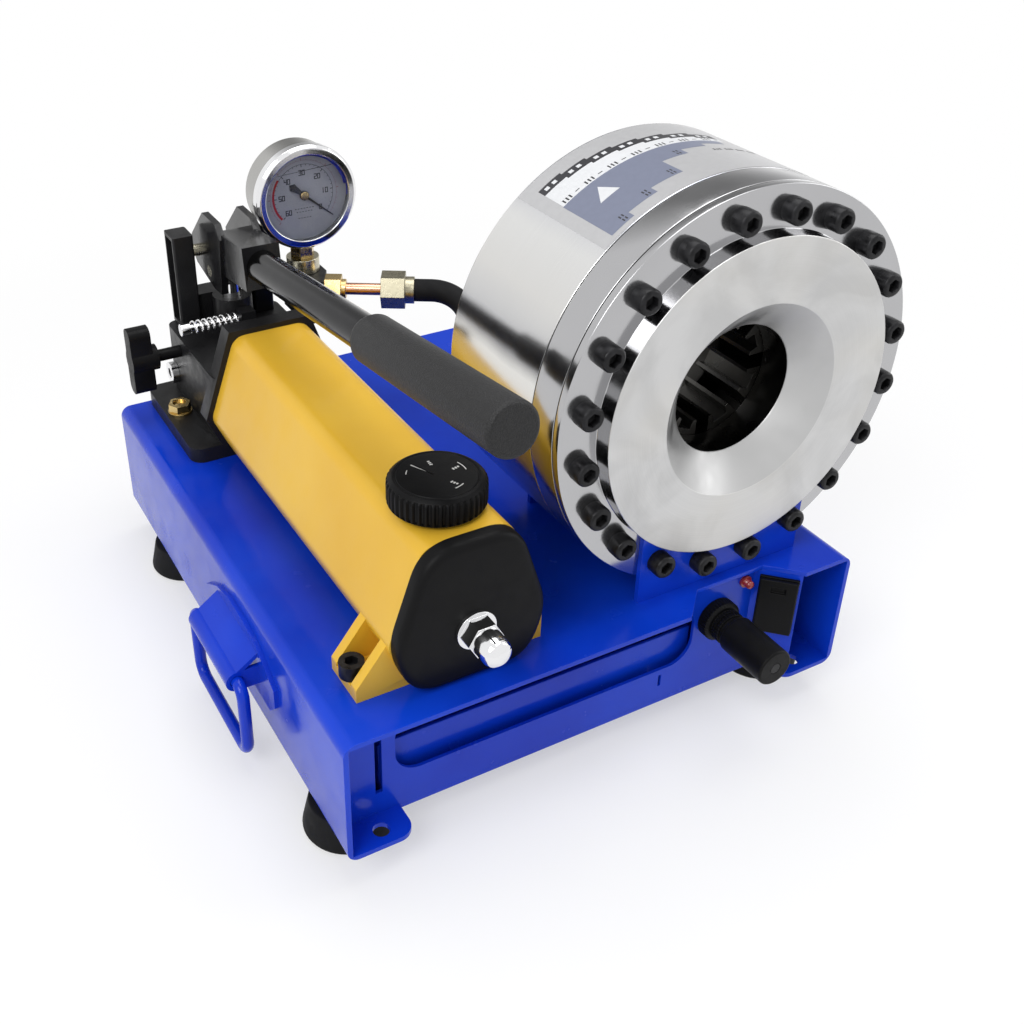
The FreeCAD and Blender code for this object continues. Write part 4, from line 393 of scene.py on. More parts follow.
# painted reflections on the turned steel, light and dark bands at places round it: 0 is the left,
# 0.25 the top and 0.5 the right
PAINTED_REFLECTIONS = ((0.0, (0.66, 0.64, 0.6)), (0.036, (0.78, 0.77, 0.74)), (0.049, (0.1, 0.1, 0.12)),
         (0.062, (0.55, 0.55, 0.56)), (0.09, (0.7, 0.69, 0.67)), (0.13, (0.76, 0.76, 0.75)),
         (0.16, (0.6, 0.61, 0.66)), (0.2, (0.72, 0.73, 0.78)), (0.225, (0.42, 0.44, 0.52)),
         (0.26, (0.72, 0.72, 0.74)), (0.34, (0.62, 0.62, 0.64)), (0.42, (0.86, 0.86, 0.86)),
         (0.52, (0.3, 0.3, 0.32)), (0.6, (0.8, 0.8, 0.8)), (0.74, (0.45, 0.45, 0.47)),
         (0.86, (0.8, 0.79, 0.76)), (0.94, (0.35, 0.35, 0.38)), (1.0, (0.66, 0.64, 0.6)))


def turned_steel(name):
    """Steel turned on a lathe: fine rings along the piece, and soft light and dark bands at places
    round it that are painted reflections.
    """
    steel = Finish(name, (0.7, 0.7, 0.71), 0.2, 1.0, Anisotropic=0.35)
    split = steel.node("SeparateXYZ")
    steel.links.new(steel.own_map(), split.inputs["Vector"])
    rings = steel.noise(1.0, 4.0, steel.own_map((0.8, 5200.0, 1.0)))
    reflection_wobble = steel.noise(16.0, 3.0, steel.own_map((1.0, 1.2, 1.0)))
    wavy = calculated(steel.tree, "MULTIPLY_ADD", reflection_wobble, 0.012, split.outputs["X"])
    marks = steel.ramp(rings, ((0.3, 0.4), (0.7, 0.95)))
    # base colour: mostly the painted reflection bands, with a fifth of it the marks of turning
    steel.to("Base Color", steel.mixed(0.2, steel.ramp(wavy, PAINTED_REFLECTIONS), marks))
    steel.to("Roughness", steel.ramp(rings, ((0.25, 0.1), (0.75, 0.22))))
    steel.drawn_round()
    return steel.bump(rings, 0.02 * MM, 0.3).material


def faced_steel(name):
    """The faced front of the head: an even matt grey with a soft mottle of wiped oil."""
    steel = Finish(name, (0.58, 0.58, 0.58), 0.36, 1.0, Anisotropic=0.15)
    rings = steel.noise(1.0, 3.0, steel.own_map((0.5, 4200.0, 1.0)))
    wiped = steel.noise(26.0, 4.0, Distortion=0.9)
    marks = steel.ramp(rings, ((0.3, 0.48), (0.7, 0.66)))
    grey = steel.mixed(0.25, steel.ramp(wiped, ((0.35, 0.54), (0.6, 0.64))), marks)
    warm = steel.ramp(steel.noise(14.0, 2.0), ((0.5, 0.0), (0.75, 0.14)))
    steel.to("Base Color", steel.mixed(warm, grey, (0.7, 0.62, 0.44)))
    steel.to("Roughness", steel.ramp(wiped, ((0.35, 0.46), (0.65, 0.34))))
    steel.drawn_round()
    return steel.bump(rings, 0.02 * MM, 0.2).material


def plated(name, colour, roughness, stain=0.75, relief=0.4, fine=500.0):
    """Plated or drawn metal with faint stains and fine scratches."""
    metal = Finish(name, colour, roughness, 1.0)
    metal.mottled(fine / 4, stain, colour, 4.0)
    metal.uneven(fine, roughness * 0.8, roughness * 1.3, 2.0)
    return metal.bump(metal.noise(900.0, 2.0), 0.03 * MM, relief).material


def black_oxide(name):
    """Blackened steel, slightly oily."""
    metal = Finish(name, (0.01, 0.01, 0.011), 0.3, 0.4, Specular_IOR_Level=0.3)
    oily = metal.noise(260.0, 3.0)
    metal.to("Roughness", metal.ramp(oily, ((0.3, 0.26), (0.7, 0.5))))
    metal.to("Base Color", metal.ramp(oily, ((0.3, (0.006, 0.006, 0.007)),
                                             (0.7, (0.02, 0.02, 0.022)))))
    return metal.bump(metal.noise(1500.0, 2.0), 0.04 * MM, 0.3).material


def moulded(name, colour, roughness, grain=1800.0):
    """Moulded plastic or rubber with a fine grain."""
    plastic = Finish(name, colour, roughness, Specular_IOR_Level=0.1)
    plastic.uneven(150.0, roughness - 0.07, roughness + 0.1)
    plastic.mottled(45.0, 0.75, colour)
    return plastic.bump(plastic.noise(grain, 3.0), 0.06 * MM, 0.6).material


def foam(name):
    """Closed-cell foam: dense small pores."""
    sleeve = Finish(name, (0.012, 0.012, 0.013), 0.5, Specular_IOR_Level=0.32)
    cells = sleeve.node("TexVoronoi", Scale=1500.0, feature="F1")
    sleeve.links.new(sleeve.place, cells.inputs["Vector"])
    pores = cells.outputs["Distance"]
    sleeve.to("Base Color", sleeve.ramp(pores, ((0.1, (0.002, 0.002, 0.002)),
                                                (0.6, (0.017, 0.017, 0.018)))))
    sleeve.bump(pores, 0.3 * MM, 0.7)
    return sleeve.bump(sleeve.noise(220.0, 3.0), 0.4 * MM, 0.35).material


def plain(name, colour, roughness, **sockets):
    """Printed ink, or a thin sheet or lens, with a faint unevenness."""
    ink = Finish(name, colour, roughness, **sockets)
    ink.mottled(300.0, 0.88, colour)
    return ink.bump(ink.noise(700.0), 0.02 * MM, 0.3).material


def clear_window(name):
    """Gauge window with a faint blue cast."""
    window = Finish(name, (0.93, 0.95, 1.0), 0.02, Transmission_Weight=1.0, IOR=1.3)
    return window.bump(window.noise(25.0), 0.02 * MM, 0.15).material


blue = enamel("blue_enamel", (0.004, 0.05, 0.6), (0.002, 0.028, 0.46),
              roughness=0.18, coat=0.08, specular=0.2)
yellow = enamel("yellow_enamel", (0.79, 0.48, 0.04), (0.73, 0.42, 0.028),
                roughness=0.34, coat=0.22, specular=0.3)
black_cast = cast_enamel("black_cast_enamel", (0.011, 0.011, 0.012))
black_gloss = enamel("black_gloss_enamel", (0.008, 0.008, 0.009), (0.004, 0.004, 0.005),
                     roughness=0.18, coat=0.1, specular=0.3)
lathe_steel = turned_steel("turned_steel")
face_steel = faced_steel("faced_steel")
satin_steel = plated("satin_steel", (0.5, 0.5, 0.51), 0.14, stain=0.86, relief=0.05, fine=100.0)
bore_steel = plated("bored_steel", (0.5, 0.5, 0.5), 0.4, stain=0.94, relief=0.01, fine=60.0)
# oiled steel made darker still as painted shade, used for the throat, the grooves, the drum's
# inside and the ring piston
oiled_steel_painted_shade = plated("oiled_steel_painted_shade", (0.045, 0.0435, 0.041), 0.3, stain=0.8, relief=0.02,
                     fine=80.0)
die_steel = plated("die_steel", (0.12, 0.117, 0.11), 0.3, stain=0.8, relief=0.05, fine=120.0)
oxide = black_oxide("black_oxide_steel")
zinc = plated("zinc_plate", (0.66, 0.62, 0.48), 0.26)
yellow_zinc = plated("yellow_zinc", (0.74, 0.55, 0.24), 0.2)
dark_chrome = plated("dark_chrome", (0.037, 0.037, 0.039), 0.12, stain=0.7)
chrome = plated("bright_chrome", (0.84, 0.84, 0.85), 0.07, stain=0.94)
case_steel = plated("case_steel", (0.46, 0.455, 0.44), 0.2, stain=0.85, relief=0.02, fine=60.0)
nut_zinc = plated("olive_zinc", (0.4, 0.37, 0.27), 0.3, stain=0.8)
brass = plated("drawn_brass", (0.78, 0.58, 0.26), 0.24)
copper = plated("drawn_copper", (0.78, 0.43, 0.28), 0.2)
rubber = moulded("black_rubber", (0.012, 0.012, 0.013), 0.62, grain=900.0)
plastic = moulded("black_moulding", (0.006, 0.006, 0.0065), 0.4)
foam_black = foam("black_foam")
dial_white = plain("dial_white", (0.36, 0.365, 0.4), 0.4)
ink_black = plain("dial_ink", (0.012, 0.012, 0.014), 0.5)
ink_red = plain("dial_red", (0.42, 0.02, 0.02), 0.45)
ink_rose = plain("dial_rose", (0.30, 0.17, 0.2), 0.45)
# a painted reflection of blue on the upper edge of the gauge's window
reflection_blue = plain("painted_blue_reflection", (0.03, 0.045, 0.42), 0.3)
window_glass = clear_window("gauge_window")
red_lens = plain("red_lens", (0.36, 0.03, 0.028), 0.2, Transmission_Weight=0.2, Coat_Weight=0.3)
label_silver = plain("label_silver", (0.5, 0.5, 0.51), 0.3, Metallic=0.15)
label_white = plain("label_white", (0.74, 0.75, 0.77), 0.35)
label_slate = plain("label_slate", (0.19, 0.21, 0.29), 0.35)
label_dark = plain("label_dark", (0.025, 0.025, 0.03), 0.35)
mark_white = plain("mark_white", (0.62, 0.62, 0.6), 0.45)


# crimping head

def ring(node, profile, finish):
    """A closed ring round the head's axis: points (distance behind the disc face, radius)."""
    centre = (head[0], disc_face, head[2])
    return turned(node + "_turned", "frame", centre, BACK, profile, finish, 192, 0.6 * MM,
                  closed=True)


def ring_places(shell):
    """Distance of each face of a ring from the head's axis, and behind the disc face."""
    centre = np.zeros(len(shell.data.polygons) * 3)
    shell.data.polygons.foreach_get("center", centre)
    centre = centre.reshape(-1, 3)
    return np.hypot(centre[:, 0] - head[0], centre[:, 2] - head[2]), centre[:, 1] - disc_face


def painted(shell, bands):
    """Gives the faces of each band their own finish, the later ones over the earlier ones."""
    index = np.zeros(len(shell.data.polygons), np.int32)
    for number, (finish, chosen) in enumerate(bands, start=1):
        shell.data.materials.append(finish)
        index[chosen] = number
    shell.data.polygons.foreach_set("material_index", index)


def front_cap():
    """Front cap: a raised disc with a conical mouth, a bolt flange, and a groove round the rim."""
    rim, joint = drum_radius, joint_face - disc_face
    slot = disc_rise + 4.7 * MM
    slot_end = slot + groove_width
    seam = joint - groove_width / 2
    cap = [(0, mouth_reach), (0, disc_reach), (disc_rise, disc_reach), (disc_rise, rim),
           (slot, rim), (slot, groove_reach), (slot_end, groove_reach), (slot_end, rim),
           (seam, rim), (seam, groove_reach), (joint, groove_reach), (joint, throat_reach),
           (mouth_depth, throat_reach)]
    shell = ring("front_cap", cap, face_steel)
    reach, depth = ring_places(shell)
    behind_face = depth > 0.8 * MM
    beside_disc = reach > disc_reach - 2 * MM
    in_groove = beside_disc & (depth > disc_rise + 2 * MM) & (reach < rim - 0.3 * MM)
    in_throat = (reach < throat_reach + 0.1 * MM) & (depth > mouth_depth - 0.1 * MM)
    # the throat and the grooves round the rim get the dark oiled steel as painted shade
    painted(shell, [(satin_steel, behind_face & beside_disc),
                    (bore_steel, behind_face & (reach < mouth_reach)),
                    (oiled_steel_painted_shade, in_throat | in_groove)])
    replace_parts(shell, "front_cap")


def drum_shell():
    """Drum: an outer wall, a back wall, and the guide sleeve that stands on it inside."""
    rim, joint = drum_radius, joint_face - disc_face
    chamber, sleeve, bore = 85 * MM, 56.7 * MM, 38 * MM
    length = drum_back - disc_face
    inner = length - 12 * MM
    sleeve_end = inner - 31.7 * MM
    seam = joint + groove_width / 2
    drum = [(joint, chamber), (joint, groove_reach), (seam, groove_reach), (seam, rim),
            (length, rim), (length, bore), (sleeve_end, bore), (sleeve_end, sleeve),
            (inner, sleeve), (inner, chamber)]
    shell = ring("drum_shell", drum, lathe_steel)
    reach, depth = ring_places(shell)
    inside = (reach < rim - 0.3 * MM) & (depth < length - 0.8 * MM)
    # the drum's inside gets the dark oiled steel as painted shade
    painted(shell, [(oiled_steel_painted_shade, inside)])
    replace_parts(shell, "drum_shell")


def cap_bolts():
    """Socket head bolts: a knurled round head, with a hexagon socket of six flats in it."""
    count, first, circle = 20, 9.0, 98.9 * MM
    plate = high_of("head_plate_front", 1) - low_of("head_plate_front", 1)
    spots = []
    for number in range(count):
        angle = math.radians(first + 360.0 / count * number)
        holds_plates = abs(number - (count - 1) / 2) < 2      # the four lowest
        spots.append((angle, disc_face + disc_rise - (plate if holds_plates else 0), -1.0))
        if holds_plates:
            spots.append((angle, drum_back + plate, 1.0))
    columns, radius, height = 36, 6.6 * MM, 8.5 * MM
    turn = np.arange(columns) / columns * FULL
    even = np.ones(columns)
    socket = 3.2 * MM * hexagon(turn)
    knurl = radius * (1 + 0.012 * np.cos(turn * columns / 2))
    rows = [(0.0, radius * even), (0.6 * MM, knurl), (height - 1.3 * MM, knurl),
            (height - 0.9 * MM, (radius - 0.2 * MM) * even),
            (height - 0.2 * MM, (radius - 0.8 * MM) * even),
            (height, (radius - 1.4 * MM) * even), (height, socket + 0.3 * MM),
            (height - 0.4 * MM, socket), (4.4 * MM, socket), (3.6 * MM, 0 * even)]
    parts = []
    for angle, seat, out in spots:
        centre = np.array((head[0] + circle * math.sin(angle), seat,
                           head[2] + circle * math.cos(angle)))
        around = np.cos(turn)[:, None] * RIGHT - out * np.sin(turn)[:, None] * UP
        parts.append(np.array([centre + BACK * out * rise + reach[:, None] * around
                               for rise, reach in rows]))
    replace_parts(joined_piece("head_bolts_detailed", "frame", parts, oxide), "head_bolts")


def blended(corners, spans):
    """A four-sided patch whose points are the corners mixed in even shares along and across."""
    along = np.linspace(0, 1, spans[0] + 1)[:, None, None]
    across = np.linspace(0, 1, spans[1] + 1)[None, :, None]
    first, second, third, fourth = np.array(corners, float)
    return ((1 - along) * (1 - across) * first + along * (1 - across) * second
            + along * across * third + (1 - along) * across * fourth)


def on_drum(corners, lift):
    """A patch bent onto the drum: corners (degrees from the top, mm behind the joint)."""
    turn = max(corner[0] for corner in corners) - min(corner[0] for corner in corners)
    spans = max(2, int(turn))
    flat = blended(corners, (spans, spans if corners[0][0] != corners[3][0] else 1))
    angle = np.radians(flat[..., 0])
    reach = drum_radius + lift
    return np.stack((head[0] + reach * np.sin(angle), joint_face + flat[..., 1] * MM,
                     head[2] + reach * np.cos(angle)), axis=-1)


def drum_block(start, end, near, far, lift):
    """A patch on the drum between two angles and two distances behind the joint."""
    return on_drum(((start, near), (end, near), (end, far), (start, far)), lift)


def drum_label():
    """Printed foil round the drum: a plain ground with a stepped field, a band, blocks and marks.

    Angles are degrees from the top to the right, distances mm behind the joint.
    """
    ground, field, mark = 0.03 * MM, 0.07 * MM, 0.11 * MM     # how far each layer lies off the drum
    first, column, seam = -36.9, 7.6, 46.5
    steps = ((-37.1, -29.7, 4.5), (-29.7, -20.5, 9.0), (-20.5, -10.5, 14.4),
             (-10.5, -2.2, 31.0), (-2.2, 6.0, 37.0), (6.0, 14.0, 41.0))
    rows = [(first + column * n, first + column * (n + 1), 63.5 - 2.0 * n) for n in range(7)]
    stepped = [drum_block(start, end, near, seam, field) for start, end, near in steps]
    band = [drum_block(start, end, seam, far, field) for start, end, far in rows]
    blocks = [drum_block(start, end, far, far + 6.5, field) for start, end, far in rows]
    dots = [drum_block(start + 1.4 + 2.6 * n, start + 2.7 + 2.6 * n, far + 2.0, far + 4.6, mark)
            for start, end, far in rows for n in range(2)]
    triangle = on_drum(((-27.6, 40.3), (-24.7, 28.8), (-31.2, 28.2), (-31.2, 28.2)), mark)
    bars = []
    for start, end, far in rows:
        bars += [drum_block(start + 1.0 + 1.1 * n, start + 1.45 + 1.1 * n, 47.4, 50.6, mark)
                 for n in range(3)]
        bars.append(drum_block(start + 5.2, start + 6.6, 48.7, 49.3, mark))
    for start, end, near in steps[:4]:
        bars += [drum_block(end - 2.6 + 0.9 * n, end - 2.2 + 0.9 * n,
                            near + 1.5 + 3.2 * row, near + 3.7 + 3.2 * row, mark)
                 for n in range(2) for row in range(2)]
    for row in range(4):
        bars += [drum_block(6.0 + 4.0 * row + 1.0 * n, 6.5 + 4.0 * row + 1.0 * n,
                            30.0, 32.2 - 0.4 * (n % 2), mark) for n in range(3)]
    sheets("label_ground", "frame", [drum_block(-41, 41, 1.0, 79.6, ground)], label_silver)
    sheets("label_field", "frame", [np.concatenate(stepped)], label_slate)
    sheets("label_band", "frame", [np.concatenate(band)], label_white)
    sheets("label_blocks", "frame", blocks, label_dark)
    sheets("label_light_marks", "frame", dots + [triangle], label_white)
    sheets("label_dark_marks", "frame", bars, label_dark)


front_cap()
drum_shell()
cap_bolts()
drum_label()
# the ring piston inside the throat gets the dark oiled steel as painted shade
softened("ring_piston", "ring_piston", oiled_steel_painted_shade, 0.0)
for number in range(1, 9):
    softened("die_%d" % number, "die_%d" % number, die_steel, 0.6)
for node in ("head_plate_front", "head_plate_rear"):
    softened(node, "frame", blue)


# base

def stop_nut():
    """The ring nut of the stop screw, with its toothed rim."""
    centre = middle("screw_nut")
    front_face = low_of("screw_nut", 1)
    bore = 8.6 * MM
    rim = (high_of("screw_nut", 0) - low_of("screw_nut", 0)) / 2
    length = high_of("screw_nut", 1) - front_face
    nut = [(0, bore), (0, rim - 3.6 * MM), (0.5 * MM, rim - 3.2 * MM), (0.5 * MM, rim - 1.6 * MM),
           (2 * MM, rim), (3.2 * MM, rim), (5 * MM, rim), (length, rim), (length, bore)]
    obj = turned("stop_nut", "frame", (centre[0], front_face, centre[2]), BACK, nut, plastic,
                 240, 0.2 * MM, True, ribbed(40, 1.4 * MM, length - 0.8 * MM, 0.035))
    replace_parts(obj, "screw_nut")


def stop_barrel():
    """The barrel of the stop screw, with its ribbed collar in front of the ring nut."""
    centre = middle("screw_nut")
    start = low_of("screw_barrel", 1)
    length = high_of("screw_barrel", 1) - start
    reach = (high_of("screw_barrel", 0) - low_of("screw_barrel", 0)) / 2
    bore, barrel, edge = 3.25 * MM, 8.5 * MM, 0.4 * MM
    collar_end = low_of("screw_nut", 1) - start
    collar = collar_end - 6 * MM
    groove, groove_end = collar + 2.7 * MM, collar + 3.3 * MM
    body = [(0, bore), (0, barrel)] + [(collar * share, barrel) for share in (0.3, 0.6, 0.9)]
    body += [(collar, barrel), (collar, reach - edge), (collar + 0.5 * MM, reach),
             (groove, reach), (groove, reach - 0.9 * MM), (groove_end, reach - 0.9 * MM),
             (groove_end, reach), (collar_end - 0.5 * MM, reach), (collar_end, reach - edge),
             (collar_end, barrel), (length, barrel), (length, bore)]
    obj = turned("stop_barrel", "frame", (centre[0], start, centre[2]), BACK, body, plastic,
                 192, 0.1 * MM, True, ribbed(32, collar + edge, collar_end - edge, 0.05))
    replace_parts(obj, "screw_barrel")


for node, edge in (("base_shell", 0.6), ("front_panel", 0.8), ("rear_panel", 0.5),
                   ("die_tray", 0.6), ("handle_brackets", 0.8)):
    softened(node, "frame", blue, edge)
for side in ("left", "right"):
    softened("bail_" + side, "bail_" + side, blue, 0.0)
softened("rubber_feet", "frame", rubber, 0.8)
softened("battery_box", "frame", plastic, 0.4)
softened("battery_drawer", "battery_drawer", plastic, 0.6)
softened("indicator_lamp", "frame", red_lens, 0.0)
stop_nut()
stop_barrel()
softened("screw_thimble", "stop_thimble", plastic, 0.5)
softened("screw_spindle", "stop_spindle", oxide, 0.3)


# hand pump

def on_plane(centre, up, corners, spans=(1, 1)):
    """A flat patch: corners (mm from the centre, degrees from up to the right), filled evenly."""
    flat = blended(corners, spans)
    angle = np.radians(flat[..., 1])
    reach = flat[..., 0] * MM
    return (np.array(centre) + (reach * np.sin(angle))[..., None] * RIGHT
            + (reach * np.cos(angle))[..., None] * up)


def arc_strip(centre, up, inner, outer, start, end):
    """A strip of a flat ring between two radii and two angles."""
    corners = ((inner, start), (inner, end), (outer, end), (outer, start))
    return on_plane(centre, up, corners, (max(2, int(abs(end - start) / 3)), 1))


def filler_cap():
    """Filler cap: a wall with fine upright ribs, and a flat top inside a thin groove."""
    centre = middle("filler_cap")
    low, top = low_of("filler_cap", 2), high_of("filler_cap", 2)
    neck, edge, foot, height = 13 * MM, 25 * MM, 8 * MM, top - low
    profile = [(0, 0), (0, neck), (foot, neck), (foot, edge - 3 * MM),
               (foot + 1.6 * MM, edge - 0.8 * MM), (foot + 2.4 * MM, edge - 0.2 * MM),
               (foot + 3.2 * MM, edge), (height - 3.6 * MM, edge),
               (height - 2.6 * MM, edge - 0.2 * MM), (height - 1.4 * MM, edge - 1.2 * MM),
               (height - 0.3 * MM, edge - 2.6 * MM), (height, edge - 3.2 * MM),
               (height, edge - 3.8 * MM), (height - 0.5 * MM, edge - 4.1 * MM),
               (height - 0.5 * MM, edge - 4.7 * MM), (height, edge - 5 * MM), (height, 0)]
    ribs = ribbed(44, foot + 2.2 * MM, height - 2.2 * MM, 0.045)
    cap = turned("filler_cap_ribbed", "filler_cap", (centre[0], centre[1], low), UP, profile,
                 plastic, 352, 0.3 * MM, flute=ribs)
    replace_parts(cap, "filler_cap")


def filler_marks():
    """Plain marks on the filler cap: short arcs near its edge and inside them, and a pointer."""
    centre = middle("filler_cap")
    spot = (centre[0], centre[1], high_of("filler_cap", 2) + 0.03 * MM)
    marks = [arc_strip(spot, BACK, inner, outer, start, end) for inner, outer, start, end in
             ((14.6, 15.1, 70, 100), (14.4, 15.0, 150, 172), (14.8, 15.3, -62, -48))]
    for turn in (85, 160, 10):
        marks += [arc_strip(spot, BACK, 9.0 + 1.5 * n, 9.9 + 1.5 * n, turn - 5, turn + 5 - 2 * n)
                  for n in range(3)]
    marks.append(on_plane(spot, BACK, ((15.5, -30), (15.5, -27), (2.0, -60), (1.4, -60))))
    sheets("filler_marks", "filler_cap", marks, mark_white)


def end_cap():
    """Moulded end cap: a six-cornered outline with wide round corners, drawn in at its front."""
    low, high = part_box("end_cap")
    middle_x, back, wide = (low[0] + high[0]) / 2, high[1], (high[0] - low[0]) / 2
    bottom, top, waist = low[2] - deck, high[2] - deck, 30 * MM
    half_foot, half_top, corner = 32.2 * MM, 25.2 * MM, 16 * MM
    corners = [(-half_foot, bottom), (half_foot, bottom), (wide, waist), (half_top, top),
               (-half_top, top), (-wide, waist)]
    outline = eased(corners, corner, 10, closed=True)[:-1]
    hub = np.array((0.0, 37 * MM))
    arms = outline - hub
    spread = np.linalg.norm(arms, axis=1)[:, None]
    rows = []
    for depth, inset in ((0, None), (0, 0), (5, 0), (6.8, 0.5), (8.2, 1.7), (8.8, 3.2), (9, 5),
                         (9, 20), (9, None)):
        flat = hub + (0 * arms if inset is None else arms * (1 - inset * MM / spread))
        rows.append(np.stack((middle_x + flat[:, 0], back - depth * MM + 0 * flat[:, 0],
                              deck + flat[:, 1]), axis=-1))
    name = "end_cap_rounded"
    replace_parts(piece(name, "frame", grid_mesh(name, np.array(rows)), plastic), "end_cap")


softened("reservoir", "frame", yellow, 1.2)
softened("reservoir_bolt", "frame", oxide, 0.5)
end_cap()
softened("tie_nut", "frame", chrome, 0.4)
filler_cap()
filler_marks()
softened("pump_head", "frame", black_cast, 0.8)
softened("pump_head_bolts", "frame", yellow_zinc, 0.4)
softened("pump_links", "frame", black_cast, 0.6)
softened("link_pins", "frame", zinc, 0.4)
softened("lever_socket", "pump_lever", black_gloss, 0.8)
softened("plunger_pin", "pump_lever", zinc, 0.4)
softened("handle_tube", "pump_lever", dark_chrome, 0.0)
softened("handle_grip", "pump_lever", foam_black, 1.0)
softened("plunger", "pump_plunger", chrome, 0.3)
softened("lock_rod", "frame", chrome, 0.3)
softened("lock_spring", "frame", chrome, 0.0)
softened("release_knob", "release_knob", plastic, 1.2)
softened("head_plug", "frame", chrome, 0.3)


# pressure line and gauge

# the dial's scale: its start and its run, in degrees from up to the right, and its last number
SCALE_START, SCALE_TURN, SCALE_TOP = 130.0, -264.0, 60

# the strokes of each digit, from one point to another, on a field 1 wide and 2 high
STROKES = {"0": ((0, 0, 0, 2), (0, 2, 1, 2), (1, 2, 1, 0), (1, 0, 0, 0)),
           "1": ((0.5, 0, 0.5, 2),),
           "2": ((0, 2, 1, 2), (1, 2, 1, 1), (1, 1, 0, 1), (0, 1, 0, 0), (0, 0, 1, 0)),
           "3": ((0, 2, 1, 2), (1, 2, 1, 0), (1, 1, 0.2, 1), (1, 0, 0, 0)),
           "4": ((0, 2, 0, 1), (0, 1, 1, 1), (1, 2, 1, 0)),
           "5": ((1, 2, 0, 2), (0, 2, 0, 1), (0, 1, 1, 1), (1, 1, 1, 0), (1, 0, 0, 0)),
           "6": ((1, 2, 0, 2), (0, 2, 0, 0), (0, 0, 1, 0), (1, 0, 1, 1), (1, 1, 0, 1))}


def polar(points):
    """Points (mm right, mm up) as (distance, degrees from up to the right)."""
    return [(math.hypot(x, z), math.degrees(math.atan2(x, z))) for x, z in points]


def dial_numbers(spot):
    """Plain numbers from straight strokes: each is a thin four-sided bar between two points."""
    reach, spacing, wide, tall, half = 15.0, 2.3, 1.5, 1.55, 0.28
    grids = []
    for value in range(0, SCALE_TOP + 1, 10):
        turn = math.radians(SCALE_START + SCALE_TURN * value / SCALE_TOP)
        text = str(value)
        for place, digit in enumerate(text):
            x0 = reach * math.sin(turn) + (place - len(text) / 2) * spacing + 0.3
            z0 = reach * math.cos(turn) - 1.6
            for ax, az, bx, bz in STROKES[digit]:
                start = np.array((x0 + ax * wide, z0 + az * tall))
                end = np.array((x0 + bx * wide, z0 + bz * tall))
                run = (end - start) / np.linalg.norm(end - start) * half
                side = np.array((-run[1], run[0]))
                bar = (start - run - side, end + run - side, end + run + side, start - run + side)
                grids.append(on_plane(spot, UP, polar(bar)))
    return grids


def dial_print():
    """Ticks, rings, a red arc and plain numbers on the dial, anticlockwise as the needle turns."""
    centre = middle("gauge_dial")
    spot = (centre[0], low_of("gauge_dial", 1) - 0.04 * MM, centre[2])
    end = SCALE_START + SCALE_TURN
    fine = [arc_strip(spot, UP, 22.9, 23.1, SCALE_START, end)]
    black = [arc_strip(spot, UP, 20.3, 20.55, SCALE_START, end + 78)]
    ticks, every = 30, 5
    for number in range(ticks + 1):
        turn = SCALE_START + SCALE_TURN * number / ticks
        long = number % every == 0
        width = 0.7 if long else 0.4
        black.append(arc_strip(spot, UP, 18.6 if long else 19.4, 20.4, turn - width, turn + width))
        fine.append(arc_strip(spot, UP, 23.0, 24.6 if long else 23.8, turn - width, turn + width))
    black.append(on_plane(spot, UP, ((22.6, -49.0), (26.4, 50.0), (26.6, 49.3), (22.6, -48.2))))
    for count, half, drop in ((7, 6.0, 8.6), (6, 5.0, 10.8), (5, 4.0, 15.0)):
        for x in np.linspace(-half, half, count):
            bar = ((x - 0.45, -drop), (x + 0.45, -drop), (x + 0.45, -drop - 0.5),
                   (x - 0.45, -drop - 0.5))
            black.append(on_plane(spot, UP, polar(bar)))
    sheets("dial_black_print", "frame", black + dial_numbers(spot), ink_black)
    sheets("dial_rose_print", "frame", fine, ink_rose)
    sheets("dial_red_arc", "frame", [arc_strip(spot, UP, 20.2, 21.7, end + 2, end + 80)], ink_red)


def gauge_gasket():
    """A painted blue reflection behind the window, over the upper half of the gauge: a part ring,
    and a thin part ring inside it.
    """
    centre = middle("gauge_dial")
    spot = (centre[0], high_of("gauge_lens", 1) + 0.3 * MM, centre[2])
    wide = on_plane(spot, UP, ((28.2, -78), (28.2, 96), (29.0, 96), (29.0, -78)), (60, 1))
    thin = arc_strip(spot, UP, 26.9, 28.2, -58, 80)
    sheets("gauge_gasket", "frame", [wide, thin], reflection_blue, 0.2 * MM)


def needle_boss():
    """The brass boss that holds the needle."""
    centre = middle("gauge_dial")
    front = low_of("gauge_needle", 1) - 0.3 * MM
    length, reach = 0.9 * MM, 2.9 * MM
    boss = [(0, 0), (0, reach - 0.3 * MM), (0.5 * MM, reach), (length, reach), (length, 0)]
    turned("needle_boss", "gauge_needle", (centre[0], front, centre[2]), BACK, boss, brass, 48,
           0.2 * MM)


def gauge_collar():
    """A brass hexagon round the gauge's stem: six flats, a little larger than the stem."""
    base = high_of("gauge_adapter", 2)
    centre = middle("gauge_adapter")
    flat, height = 7.1 * MM, 9 * MM
    collar = [(0, 0), (0, flat), (height - 0.8 * MM, flat), (height, flat - 0.6 * MM), (height, 0)]
    turned("gauge_collar", "frame", (centre[0], centre[1], base), UP, collar, brass, 96,
           0.3 * MM, flute=hexagon)


